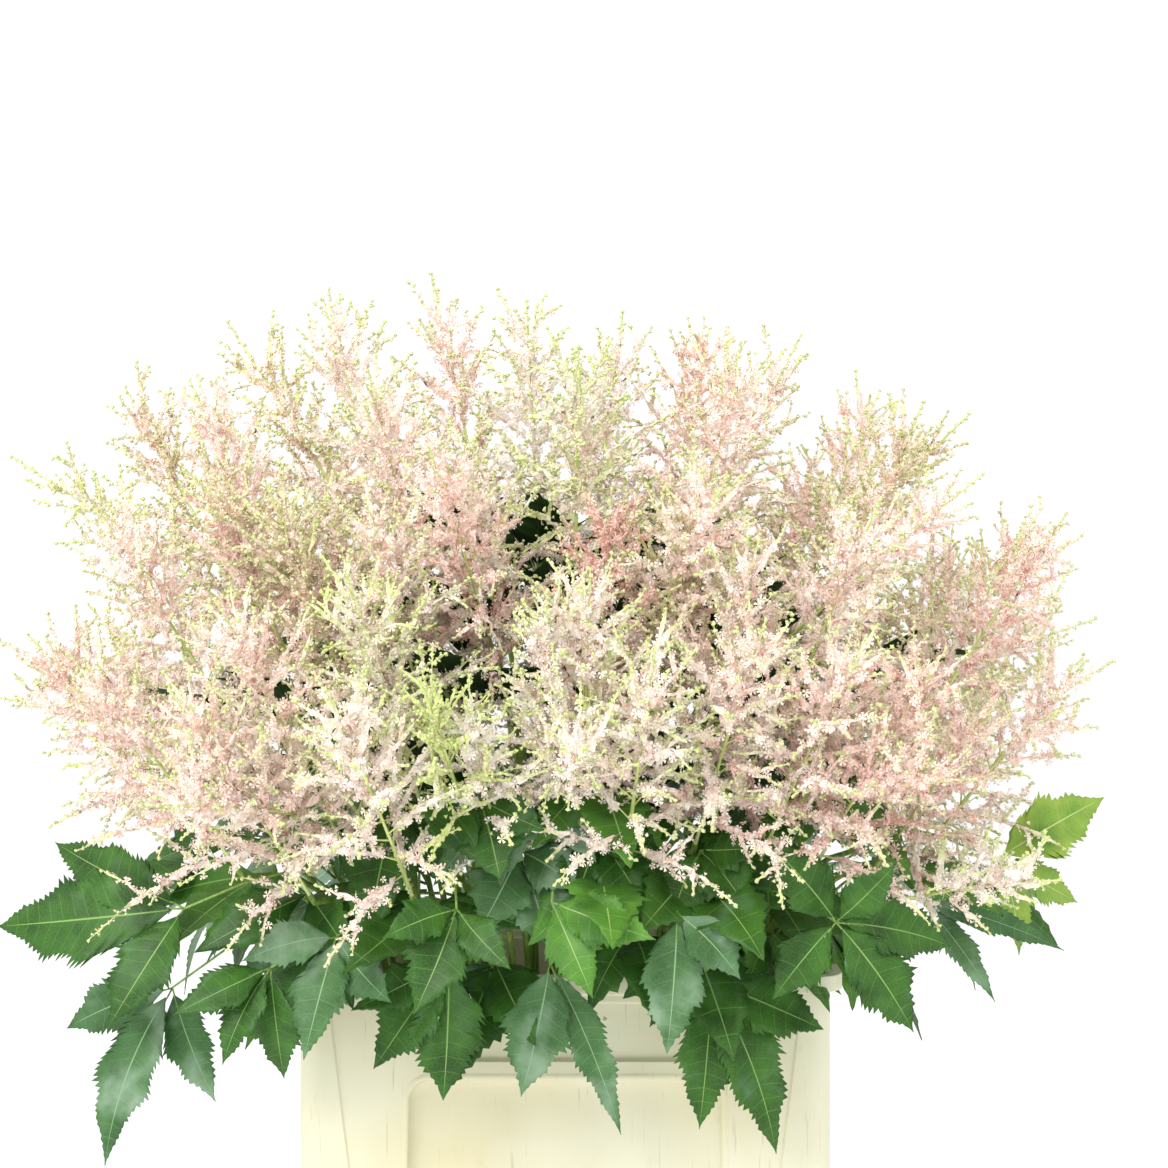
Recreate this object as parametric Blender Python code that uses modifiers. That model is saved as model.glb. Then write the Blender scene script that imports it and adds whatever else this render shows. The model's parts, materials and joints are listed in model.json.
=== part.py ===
"""Flowering astilbe stems, with their plumes and compound leaves, standing in a tall rectangular bucket.

The origin is the centre of the bucket's underside, +Z is up and -Y is the front. Lengths are in metres.
"""

import math
from typing import NamedTuple

import bmesh
import bpy
from mathutils import Vector

# Bucket
BUCKET_WIDTH = 0.394
BUCKET_DEPTH = 0.296
BUCKET_HEIGHT = 0.400
WALL = 0.003
CORNER_RADIUS = 0.016
FOOT_RADIUS = 0.006
LIP_REACH = 0.006
LIP_DROP = 0.009
FIELD_DEPTH = 0.002
SPLIT_HEIGHT = 0.3285
GRIP_DEPTH = 0.005
PANEL_DEPTH = 0.010
PANEL_DRAFT = 0.002
RIB_REACH = 0.008
CORNER_SEGMENTS = 3
FLATNESS = 1e-5
SMOOTH_ANGLE = math.radians(35.0)

# Plants
GAP = 0.0003
STEM_RADIUS = 0.0024
STEM_SIDES_RESOLUTION = 1
STEM_POINTS = 11
STEM_RISE = 0.31
STEM_APPROACH = 0.13
STEM_LAST_STEP = 0.008
FOOT_SPREAD = 0.48
FAN_CENTRE = Vector((-0.010, 0.0, 0.475))
PLUME_START = 0.42
PLUME_RADIUS = 0.046
PLUME_END_SHARE = 0.14
PLUME_LOW_SWELL = 0.72
PLUME_FULLNESS = 0.85
PLUME_POINTS = 9
PLUME_ARCH = 0.05
LEAF_THICKNESS = 0.0012
PETIOLE_WIDTH = 0.0032
PETIOLE_RISE = 0.20
PETIOLE_POINTS = 6
LEAFLET_PITCH = 0.006
LEAFLET_ROWS = (0.22, 0.50, 0.78)
LEAFLET_LOW_SWELL = 0.85
LEAFLET_ARCH = 0.07
KEEL = 0.10
LEAF_TURNS_OUT = 0.8
LEAF_TURNS_UP = 0.6
LEAF_LOWEST_START = 0.430
LEAF_HIGHEST_START = 0.480
LEAF_START_GAP = 0.0010
LEAF_START_STAGGER = 0.007
LEAF_START_STEPS = 3


class Outline(NamedTuple):
    """A panel's outline on a wall: half its width and its height, at its foot and at its top."""

    foot_half: float
    foot: float
    top_half: float
    top: float


class Plume(NamedTuple):
    """One flower head: the place of its tip, and its widest radius as a share of PLUME_RADIUS."""

    tip: tuple
    fullness: float = 1.0


class Leaf(NamedTuple):
    """One compound leaf: where its leaflets join, and the tip and width of each leaflet."""

    joint: tuple
    leaflets: tuple


FIELD = Outline(0.130, 0.014, 0.176, 0.386)
GRIP = Outline(0.093, 0.335, 0.093, 0.380)
PANEL = Outline(0.119, 0.050, 0.115, 0.322)
RIB = Outline(0.050, 0.060, 0.040, 0.382)

PLUMES = (
    # Low in front
    Plume((-0.270, -0.360, 0.545)),
    Plume((0.015, -0.390, 0.585)),
    Plume((0.270, -0.330, 0.560)),
    # Middle of the front
    Plume((-0.265, -0.250, 0.770)),
    Plume((-0.090, -0.300, 0.780)),
    Plume((0.110, -0.310, 0.760)),
    Plume((0.295, -0.220, 0.765)),
    # The outline seen from the front
    Plume((-0.445, 0.000, 0.790)),
    Plume((-0.440, -0.060, 0.600)),
    Plume((-0.275, 0.020, 0.900)),
    Plume((-0.110, 0.020, 0.940)),
    Plume((0.045, -0.010, 0.905)),
    Plume((0.190, 0.020, 0.890)),
    Plume((0.325, 0.010, 0.825)),
    Plume((0.420, -0.020, 0.660)),
    # The back
    Plume((-0.310, 0.260, 0.690)),
    Plume((-0.120, 0.340, 0.750)),
    Plume((0.115, 0.340, 0.730)),
    Plume((0.310, 0.250, 0.660)),
    Plume((0.000, 0.385, 0.550)),
)

LEAVES = (
    # The front, from left to right
    Leaf((-0.273, -0.190, 0.455), (((-0.418, -0.150, 0.436), 0.062), ((-0.321, -0.225, 0.375), 0.044),
                                   ((-0.381, -0.125, 0.495), 0.040))),
    Leaf((-0.300, -0.090, 0.380), (((-0.343, -0.130, 0.254), 0.036), ((-0.385, -0.070, 0.345), 0.030),
                                   ((-0.262, -0.120, 0.300), 0.030))),
    Leaf((-0.209, -0.205, 0.415), (((-0.275, -0.225, 0.385), 0.030), ((-0.240, -0.225, 0.350), 0.030),
                                   ((-0.200, -0.200, 0.335), 0.036))),
    Leaf((-0.160, -0.225, 0.440), (((-0.178, -0.265, 0.362), 0.040), ((-0.118, -0.260, 0.400), 0.034),
                                   ((-0.222, -0.255, 0.428), 0.030))),
    Leaf((-0.073, -0.270, 0.466), (((-0.120, -0.305, 0.452), 0.030), ((-0.100, -0.300, 0.400), 0.040),
                                   ((-0.035, -0.300, 0.430), 0.028))),
    Leaf((-0.008, -0.265, 0.470), (((0.062, -0.300, 0.450), 0.036), ((0.020, -0.295, 0.410), 0.034))),
    Leaf((-0.082, -0.205, 0.420), (((-0.135, -0.215, 0.345), 0.044), ((-0.085, -0.225, 0.325), 0.050),
                                   ((-0.150, -0.224, 0.388), 0.030))),
    Leaf((-0.010, -0.215, 0.420), (((-0.030, -0.235, 0.330), 0.044), ((0.040, -0.220, 0.300), 0.026))),
    Leaf((0.078, -0.260, 0.462), (((0.070, -0.285, 0.370), 0.042), ((0.120, -0.280, 0.420), 0.036))),
    Leaf((0.105, -0.205, 0.405), (((0.095, -0.225, 0.305), 0.040), ((0.150, -0.215, 0.285), 0.044),
                                   ((0.185, -0.200, 0.370), 0.044))),
    Leaf((0.190, -0.235, 0.452), (((0.140, -0.255, 0.490), 0.034), ((0.244, -0.235, 0.375), 0.048),
                                   ((0.145, -0.245, 0.400), 0.032), ((0.235, -0.255, 0.492), 0.026),
                                   ((0.275, -0.205, 0.430), 0.032))),
    Leaf((0.262, -0.155, 0.455), (((0.312, -0.175, 0.385), 0.020), ((0.365, -0.160, 0.420), 0.020))),
    Leaf((0.330, -0.085, 0.478), (((0.412, -0.085, 0.525), 0.044), ((0.398, -0.055, 0.440), 0.030),
                                  ((0.340, -0.120, 0.410), 0.030))),
    # The sides and the back, from right to left
    Leaf((0.290, 0.060, 0.440), (((0.395, 0.075, 0.425), 0.044), ((0.330, 0.010, 0.360), 0.038),
                                 ((0.320, 0.130, 0.370), 0.038))),
    Leaf((0.215, 0.190, 0.440), (((0.290, 0.240, 0.400), 0.044), ((0.245, 0.170, 0.345), 0.036),
                                 ((0.180, 0.235, 0.360), 0.038))),
    Leaf((0.090, 0.240, 0.440), (((0.100, 0.320, 0.375), 0.050), ((0.150, 0.270, 0.370), 0.036),
                                 ((0.045, 0.265, 0.350), 0.036))),
    Leaf((-0.050, 0.240, 0.440), (((-0.060, 0.325, 0.380), 0.050), ((-0.005, 0.270, 0.355), 0.034),
                                  ((-0.115, 0.270, 0.365), 0.036))),
    Leaf((-0.190, 0.215, 0.440), (((-0.250, 0.285, 0.395), 0.046), ((-0.150, 0.255, 0.355), 0.036),
                                  ((-0.235, 0.190, 0.350), 0.036))),
    Leaf((-0.280, 0.100, 0.440), (((-0.385, 0.130, 0.415), 0.046), ((-0.310, 0.165, 0.360), 0.036),
                                  ((-0.315, 0.045, 0.350), 0.036))),
)


def clear_scene():
    """Remove every object that the new file starts with."""
    for obj in list(bpy.data.objects):
        bpy.data.objects.remove(obj)


def make_material(name, colour, roughness):
    """Return a plain finish."""
    material = bpy.data.materials.new(name)
    material.use_nodes = True
    shader = material.node_tree.nodes["Principled BSDF"]
    shader.inputs["Base Color"].default_value = (*colour, 1.0)
    shader.inputs["Roughness"].default_value = roughness
    shader.inputs["Metallic"].default_value = 0.0
    return material


def add_object(name, data, collection, material):
    """Put a mesh or a curve in the collection, with its finish."""
    data.materials.append(material)
    obj = bpy.data.objects.new(name, data)
    collection.objects.link(obj)
    return obj


def finished_mesh(name, bm):
    """Turn an edit mesh into a mesh that is smooth except at its sharp edges."""
    mesh = bpy.data.meshes.new(name)
    bm.to_mesh(mesh)
    bm.free()
    mesh.shade_smooth()
    mesh.set_sharp_from_angle(angle=SMOOTH_ANGLE)
    return mesh


def bezier(points, share):
    """Return the place at this share of the way along a Bezier curve, by de Casteljau's rule."""
    points = list(points)
    while len(points) > 1:
        points = [a.lerp(b, share) for a, b in zip(points, points[1:])]
    return points[0]


def evenly(count):
    """Return count shares from 0 to 1."""
    return [index / (count - 1) for index in range(count)]


def place_corners(face, across, sign, outline, distance):
    """Move a face's four corners to an outline on the plane at this distance from the bucket's axis.

    across is 0 where the wall runs along X and 1 where it runs along Y.
    """
    middle = sum(vert.co.z for vert in face.verts) / len(face.verts)
    for vert in face.verts:
        is_top = vert.co.z > middle
        along = math.copysign(outline.top_half if is_top else outline.foot_half, vert.co[across])
        vert.co.z = outline.top if is_top else outline.foot
        vert.co[across] = along
        vert.co[1 - across] = sign * distance


def step_panel(bm, face, across, sign, outline, distance, step):
    """Cut an outline into a face, then move the face inside it out by step, with drafted sides."""
    bmesh.ops.inset_region(bm, faces=[face], thickness=PANEL_DRAFT, use_boundary=True)
    place_corners(face, across, sign, outline, distance)
    bmesh.ops.inset_region(bm, faces=[face], thickness=PANEL_DRAFT, use_boundary=True)
    smaller = Outline(
        outline.foot_half - PANEL_DRAFT,
        outline.foot + PANEL_DRAFT,
        outline.top_half - PANEL_DRAFT,
        outline.top - PANEL_DRAFT,
    )
    place_corners(face, across, sign, smaller, distance + step)


def widest_face(bm, direction):
    """Return the largest face that looks this way."""
    facing = [face for face in bm.faces if face.normal.dot(direction) > 0.9]
    return max(facing, key=lambda face: face.calc_area())


def shape_front(bm, sign):
    """Give the front (sign -1) or back (sign +1) wall its field, grip recess and large panel."""
    wall = widest_face(bm, Vector((0.0, sign, 0.0)))
    step_panel(bm, wall, 0, sign, FIELD, BUCKET_DEPTH / 2, -FIELD_DEPTH)
    bmesh.ops.bisect_plane(
        bm,
        geom=[wall, *wall.edges, *wall.verts],
        plane_co=(0.0, 0.0, SPLIT_HEIGHT),
        plane_no=(0.0, 0.0, 1.0),
    )
    bm.normal_update()
    distance = BUCKET_DEPTH / 2 - FIELD_DEPTH
    halves = [
        face
        for face in bm.faces
        if face.normal.y * sign > 0.999 and abs(face.calc_center_median().y * sign - distance) < FLATNESS
    ]
    upper = max(halves, key=lambda face: face.calc_center_median().z)
    lower = min(halves, key=lambda face: face.calc_center_median().z)
    step_panel(bm, upper, 0, sign, GRIP, distance, -GRIP_DEPTH)
    step_panel(bm, lower, 0, sign, PANEL, distance, -PANEL_DEPTH)


def make_bucket(collection, material):
    """Build the bucket as an open skin with a turned-down lip, then give the skin its wall."""
    bm = bmesh.new()
    bmesh.ops.create_cube(bm, size=1.0)
    skin_height = BUCKET_HEIGHT - WALL
    bmesh.ops.scale(bm, vec=(BUCKET_WIDTH, BUCKET_DEPTH, skin_height), verts=bm.verts)
    bmesh.ops.translate(bm, vec=(0.0, 0.0, skin_height / 2), verts=bm.verts)
    bm.normal_update()
    bmesh.ops.delete(bm, geom=[widest_face(bm, Vector((0.0, 0.0, 1.0)))], context="FACES_ONLY")
    uprights = [edge for edge in bm.edges if abs(edge.verts[0].co.z - edge.verts[1].co.z) > WALL]
    round_edges = {"profile": 0.5, "affect": "EDGES"}
    bmesh.ops.bevel(bm, geom=uprights, offset=CORNER_RADIUS, segments=CORNER_SEGMENTS, **round_edges)
    foot = [edge for edge in bm.edges if max(vert.co.z for vert in edge.verts) < WALL]
    bmesh.ops.bevel(bm, geom=foot, offset=FOOT_RADIUS, segments=1, **round_edges)
    bm.normal_update()
    for sign in (-1, 1):
        shape_front(bm, sign)
        end_wall = widest_face(bm, Vector((sign, 0.0, 0.0)))
        step_panel(bm, end_wall, 1, sign, RIB, BUCKET_WIDTH / 2, RIB_REACH)
    rim = [edge for edge in bm.edges if edge.is_boundary]
    stretch = Vector((1 + 2 * LIP_REACH / BUCKET_WIDTH, 1 + 2 * LIP_REACH / BUCKET_DEPTH, 1.0))
    for step in (stretch, None):
        grown = bmesh.ops.extrude_edge_only(bm, edges=rim)["geom"]
        verts = [item for item in grown if isinstance(item, bmesh.types.BMVert)]
        rim = [item for item in grown if isinstance(item, bmesh.types.BMEdge) and item.is_boundary]
        if step:
            bmesh.ops.scale(bm, vec=step, verts=verts)
        else:
            bmesh.ops.translate(bm, vec=(0.0, 0.0, -LIP_DROP), verts=verts)
    bmesh.ops.recalc_face_normals(bm, faces=bm.faces)
    lowest = min(bm.faces, key=lambda face: face.calc_center_median().z)
    if lowest.normal.z > 0:
        bmesh.ops.reverse_faces(bm, faces=bm.faces)
    bucket = add_object("bucket", finished_mesh("bucket", bm), collection, material)
    wall = bucket.modifiers.new("wall", "SOLIDIFY")
    wall.thickness = WALL
    wall.offset = -1.0
    wall.solidify_mode = "NON_MANIFOLD"
    wall.nonmanifold_thickness_mode = "CONSTRAINTS"
    wall.nonmanifold_merge_threshold = 0.0
    return bucket


def make_tube(name, places, radii, collection, material):
    """Build a tube through these places, with a radius at each, closed at both ends."""
    curve = bpy.data.curves.new(name, "CURVE")
    curve.dimensions = "3D"
    curve.bevel_depth = 1.0
    curve.bevel_resolution = STEM_SIDES_RESOLUTION
    curve.use_fill_caps = True
    spline = curve.splines.new("POLY")
    spline.points.add(len(places) - 1)
    for point, place, radius in zip(spline.points, places, radii):
        point.co = (*place, 1.0)
        point.radius = radius
    return add_object(name, curve, collection, material)


def plume_axis(plume):
    """Return the points along a plume, from its seat to its tip. It arches up and then nods."""
    tip = Vector(plume.tip)
    base = FAN_CENTRE.lerp(tip, PLUME_START)
    middle = base.lerp(tip, 0.5) + Vector((0.0, 0.0, PLUME_ARCH * (tip - base).xy.length))
    return [bezier((base, middle, tip), share) for share in evenly(PLUME_POINTS)]


def plume_radii(plume):
    """Return the flame-shaped outline of a plume: widest a third of the way up, with small flat ends."""
    radii = []
    for share in evenly(PLUME_POINTS):
        swell = math.sin(math.pi * share**PLUME_LOW_SWELL) ** PLUME_FULLNESS if 0.0 < share < 1.0 else 0.0
        radii.append(PLUME_RADIUS * plume.fullness * max(PLUME_END_SHARE, swell))
    return radii


def stem_places(plume):
    """Return the points along the stem that carries a plume, from the bucket's floor to its seat."""
    axis = plume_axis(plume)
    heading = (axis[1] - axis[0]).normalized()
    top = axis[0] - heading * GAP
    foot = Vector((top.x * FOOT_SPREAD, top.y * FOOT_SPREAD, WALL + GAP))
    below = top - heading * STEM_LAST_STEP
    controls = (foot, foot + Vector((0.0, 0.0, STEM_RISE)), below - heading * STEM_APPROACH, below)
    return [bezier(controls, share) for share in evenly(STEM_POINTS)] + [top]


def place_at_height(places, height):
    """Return the place where a stem reaches this height."""
    for low, high in zip(places, places[1:]):
        if low.z <= height <= high.z:
            return low.lerp(high, (height - low.z) / (high.z - low.z))
    return places[-1]


def outward(place):
    """Return the level direction that leads away from the bucket's upright axis."""
    return Vector((place.x / BUCKET_WIDTH, place.y / BUCKET_DEPTH, 0.0)).normalized()


def leaf_start(joint, number, stems):
    """Return where a leaf leaves the nearest stem, just clear of it. Neighbours start at unlike heights."""
    height = min(max(joint.z, LEAF_LOWEST_START), LEAF_HIGHEST_START)
    height += LEAF_START_STAGGER * (number % LEAF_START_STEPS)
    level_places = [place_at_height(places, height) for places in stems]
    near = min(level_places, key=lambda place: (place - joint).length)
    towards = joint - near
    towards.z = 0.0
    return near + towards.normalized() * (STEM_RADIUS + LEAF_START_GAP)


def petiole_rows(bm, start, joint, face_up):
    """Return the pairs of points along a leaf stalk, with short steps near the joint for its leaflets."""
    control = start.lerp(joint, 0.5) + Vector((0.0, 0.0, PETIOLE_RISE * (joint - start).length))
    places = [bezier((start, control, joint), share) for share in evenly(PETIOLE_POINTS)]
    last = (places[-1] - places[-2]).normalized()
    places[-1:] = [joint - last * LEAFLET_PITCH * step for step in (2, 1, 0)]
    rows = []
    for index, place in enumerate(places):
        before = places[max(index - 1, 0)]
        after = places[min(index + 1, len(places) - 1)]
        side = (after - before).cross(face_up).normalized() * (PETIOLE_WIDTH / 2)
        rows.append((bm.verts.new(place - side), bm.verts.new(place + side)))
    for low, high in zip(rows, rows[1:]):
        bm.faces.new((low[0], low[1], high[1], high[0]))
    return rows, last


def add_leaflet(bm, root, tip, width, face_up):
    """Build one leaflet from the root edge, two points in left to right order, to its tip."""
    base = root[0].co.lerp(root[1].co, 0.5)
    reach = tip - base
    side = reach.cross(face_up).normalized()
    lift = side.cross(reach).normalized()
    rows = []
    for share in LEAFLET_ROWS:
        half = width / 2 * math.sin(math.pi * share**LEAFLET_LOW_SWELL)
        middle = base.lerp(tip, share) + lift * (LEAFLET_ARCH * reach.length * 4 * share * (1 - share))
        edge = middle + lift * (KEEL * half)
        rows.append([bm.verts.new(place) for place in (edge - side * half, middle, edge + side * half)])
    first, end = rows[0], bm.verts.new(tip)
    bm.faces.new((root[0], first[1], first[0]))
    bm.faces.new((root[0], root[1], first[1]))
    bm.faces.new((root[1], first[2], first[1]))
    for low, high in zip(rows, rows[1:]):
        bm.faces.new((low[0], low[1], high[1], high[0]))
        bm.faces.new((low[1], low[2], high[2], high[1]))
    bm.faces.new((rows[-1][0], rows[-1][1], end))
    bm.faces.new((rows[-1][1], rows[-1][2], end))


def make_leaf(number, leaf, stems, collection, material):
    """Build a compound leaf as one thin sheet: a stalk with a leaflet at its end and others beside it."""
    joint = Vector(leaf.joint)
    face_up = (outward(joint) * LEAF_TURNS_OUT + Vector((0.0, 0.0, LEAF_TURNS_UP))).normalized()
    bm = bmesh.new()
    rows, heading = petiole_rows(bm, leaf_start(joint, number, stems), joint, face_up)
    side = heading.cross(face_up).normalized()
    ahead = face_up.cross(side)

    def turn(leaflet):
        """Return how far a leaflet turns from straight on, positive to the right."""
        reach = Vector(leaflet[0]) - joint
        return math.atan2(reach.dot(side), reach.dot(ahead))

    leaflets = sorted(leaf.leaflets, key=turn)
    middle = len(leaflets) // 2 if len(leaflets) != 2 else min((0, 1), key=lambda k: abs(turn(leaflets[k])))
    for index, (tip, width) in enumerate(leaflets):
        step = abs(index - middle)
        if index == middle:
            root = rows[-1]
        elif index < middle:
            root = (rows[-1 - step][0], rows[-step][0])
        else:
            root = (rows[-step][1], rows[-1 - step][1])
        add_leaflet(bm, root, Vector(tip), width, face_up)
    bmesh.ops.recalc_face_normals(bm, faces=bm.faces)
    name = f"leaf_{number:02d}"
    obj = add_object(name, finished_mesh(name, bm), collection, material)
    sheet = obj.modifiers.new("thickness", "SOLIDIFY")
    sheet.thickness = LEAF_THICKNESS
    sheet.offset = 0.0
    return obj


def main():
    """Build the bucket, then each stem with its plume, then the leaves."""
    clear_scene()
    collection = bpy.data.collections.new("astilbe")
    bpy.context.scene.collection.children.link(collection)
    cream = make_material("moulded_polypropylene", (0.84, 0.80, 0.58), 0.45)
    green = make_material("green_stem", (0.16, 0.30, 0.06), 0.5)
    blush = make_material("blush_florets", (0.87, 0.62, 0.52), 0.8)
    leaf_green = make_material("leaf_blade", (0.07, 0.20, 0.04), 0.45)
    make_bucket(collection, cream)
    stems = []
    for number, plume in enumerate(PLUMES, 1):
        places = stem_places(plume)
        stems.append(places)
        make_tube(f"stem_{number:02d}", places, [STEM_RADIUS] * len(places), collection, green)
        make_tube(f"plume_{number:02d}", plume_axis(plume), plume_radii(plume), collection, blush)
    for number, leaf in enumerate(LEAVES, 1):
        make_leaf(number, leaf, stems, collection, leaf_green)


main()
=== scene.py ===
"""Looks for a bucket of flowering astilbe: plumes of tiny florets, stems, toothed leaves and a cream bucket.

Lengths are in metres. The origin is the centre of the bucket's underside, +Z is up and -Y is the front.
"""

import json
import logging
import math
import random
from collections.abc import Sequence
from dataclasses import dataclass
from enum import Enum
from typing import Any, NamedTuple

import bmesh
import bpy
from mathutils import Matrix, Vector

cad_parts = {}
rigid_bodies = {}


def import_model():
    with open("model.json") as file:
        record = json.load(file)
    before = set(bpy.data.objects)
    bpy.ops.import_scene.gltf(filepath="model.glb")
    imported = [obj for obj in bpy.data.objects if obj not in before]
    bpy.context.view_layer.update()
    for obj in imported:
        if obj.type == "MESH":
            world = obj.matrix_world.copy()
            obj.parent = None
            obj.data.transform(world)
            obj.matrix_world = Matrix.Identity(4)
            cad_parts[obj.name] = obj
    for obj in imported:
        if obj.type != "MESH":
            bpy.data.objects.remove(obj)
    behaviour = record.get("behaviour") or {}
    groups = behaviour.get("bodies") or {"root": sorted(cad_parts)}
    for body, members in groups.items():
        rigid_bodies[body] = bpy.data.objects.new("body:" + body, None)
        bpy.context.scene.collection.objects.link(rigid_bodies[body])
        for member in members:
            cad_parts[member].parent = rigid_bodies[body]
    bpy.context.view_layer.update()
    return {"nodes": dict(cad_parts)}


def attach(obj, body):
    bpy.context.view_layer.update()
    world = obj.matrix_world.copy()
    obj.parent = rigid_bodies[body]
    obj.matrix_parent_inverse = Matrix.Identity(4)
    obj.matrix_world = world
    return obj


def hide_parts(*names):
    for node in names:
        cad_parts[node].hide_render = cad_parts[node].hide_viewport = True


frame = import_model()

LOG = logging.getLogger("astilbe")
UP = Vector((0.0, 0.0, 1.0))
MM = 0.001
GOLDEN_TURN = math.radians(137.5)

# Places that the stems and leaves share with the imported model
BUCKET_WIDTH = 0.394
BUCKET_DEPTH = 0.296
FLOOR_TOP = 0.0033
GAP = 0.0003
STEM_RADIUS = 0.0024
STEM_RISE = 0.31
STEM_APPROACH = 0.13
STEM_LAST_STEP = 0.008
STEM_POINTS = 15
STEM_SIDES = 8
FOOT_SPREAD = 0.48
FAN_CENTRE = Vector((-0.010, 0.0, 0.475))
PLUME_START = 0.42
PLUME_ARCH = 0.05
PACKED_STEMS = 20
# How an added stem leans in below its plume
LEAN_IN = 0.58
LEAN_RISE = 0.015
TALL_FROM = 0.55
TALL_DROP = 0.04

# The two ways that a range of values runs from its beginning to its end
SMOOTH = "SMOOTHSTEP"
STRAIGHT = "LINEAR"

Place = tuple[float, float, float]
Field = bpy.types.NodeSocket
EditMesh = bmesh.types.BMesh
Corner = bmesh.types.BMVert
Values = dict[str | int, Any]


def linear(code: str) -> tuple[float, float, float, float]:
    """Turn an sRGB hex colour into linear light.

    Args:
        code: The colour, such as #FFE6DA.

    Returns:
        Red, green, blue and an alpha of 1.
    """
    channels = [int(code[start : start + 2], 16) / 255 for start in (1, 3, 5)]
    red, green, blue = (c / 12.92 if c <= 0.04045 else ((c + 0.055) / 1.055) ** 2.4 for c in channels)
    return (red, green, blue, 1.0)


def add_node(
    tree: bpy.types.NodeTree, kind: str, settings: Values | None = None, links: Values | None = None
) -> bpy.types.Node:
    """Add one node with its settings and links.

    Args:
        tree: The tree that gets the node.
        kind: The node's type.
        settings: Values for its properties or its inputs; "stops" holds a ramp's places and colours.
        links: The sockets that feed its inputs.

    Returns:
        The new node.
    """
    node = tree.nodes.new(kind)
    for key, value in (settings or {}).items():
        if key == "stops":
            elements = node.color_ramp.elements
            while len(elements) < len(value):
                elements.new(1.0)
            for element, (place, code) in zip(elements, value):
                element.position = place
                element.color = linear(code)
        elif isinstance(key, str) and hasattr(node, key):
            setattr(node, key, value)
        else:
            node.inputs[key].default_value = value
    for key, source in (links or {}).items():
        tree.links.new(source, node.inputs[key])
    return node


def bezier(points: Sequence[Vector], share: float) -> Vector:
    """Find the place at this share of the way along a Bezier curve.

    Args:
        points: Its control points.
        share: From 0 to 1.

    Returns:
        The place.
    """
    level = list(points)
    while len(level) > 1:
        level = [a.lerp(b, share) for a, b in zip(level, level[1:])]
    return level[0]


def along_chain(places: Sequence[Vector], share: float) -> Vector:
    """Find the place at this share of the way along a chain of points.

    Args:
        places: The points, evenly spread.
        share: From 0 to 1.

    Returns:
        The place on the straight run between two points.
    """
    at = min(max(share, 0.0), 1.0) * (len(places) - 1)
    low = min(int(at), len(places) - 2)
    return places[low].lerp(places[low + 1], at - low)


def evenly(count: int) -> list[float]:
    """Return count shares from 0 to 1."""
    return [index / (count - 1) for index in range(count)]


def round_about(ahead: Vector, spin: float) -> Vector:
    """Find a direction square to a branch.

    Args:
        ahead: The branch's direction.
        spin: The angle round the branch.

    Returns:
        The direction, one unit long.
    """
    across = ahead.orthogonal().normalized()
    return across * math.cos(spin) + ahead.cross(across) * math.sin(spin)


def new_object(name: str, mesh: bpy.types.Mesh, finishes: Sequence[bpy.types.Material]) -> bpy.types.Object:
    """Put a mesh in the scene at the origin.

    Args:
        name: The piece's name.
        mesh: Its mesh, already in place.
        finishes: Its materials, in slot order.

    Returns:
        The object.
    """
    for finish in finishes:
        mesh.materials.append(finish)
    obj = bpy.data.objects.new(name, mesh)
    bpy.context.scene.collection.objects.link(obj)
    return obj


def finished_mesh(name: str, bm: EditMesh) -> bpy.types.Mesh:
    """Turn an edit mesh into a smooth mesh.

    Args:
        name: The mesh's name.
        bm: The edit mesh, which is freed.

    Returns:
        The mesh.
    """
    mesh = bpy.data.meshes.new(name)
    bm.to_mesh(mesh)
    bm.free()
    mesh.shade_smooth()
    return mesh


def applied(obj: bpy.types.Object) -> None:
    """Turn an object's modifiers into plain mesh.

    Args:
        obj: The object, with its modifiers.
    """
    graph = bpy.context.evaluated_depsgraph_get()
    mesh = bpy.data.meshes.new_from_object(obj.evaluated_get(graph), depsgraph=graph)
    old = obj.data
    obj.modifiers.clear()
    obj.data = mesh
    bpy.data.meshes.remove(old)


def fasten(obj: bpy.types.Object, node: str = "") -> None:
    """Let a piece ride on the one body of the frame.

    Args:
        obj: The piece.
        node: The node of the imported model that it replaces, where there is one of this name.
    """
    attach(obj, "root")
    if node in frame["nodes"]:
        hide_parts(node)
    LOG.info("%s: %d faces", obj.name, len(obj.data.polygons))


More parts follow.
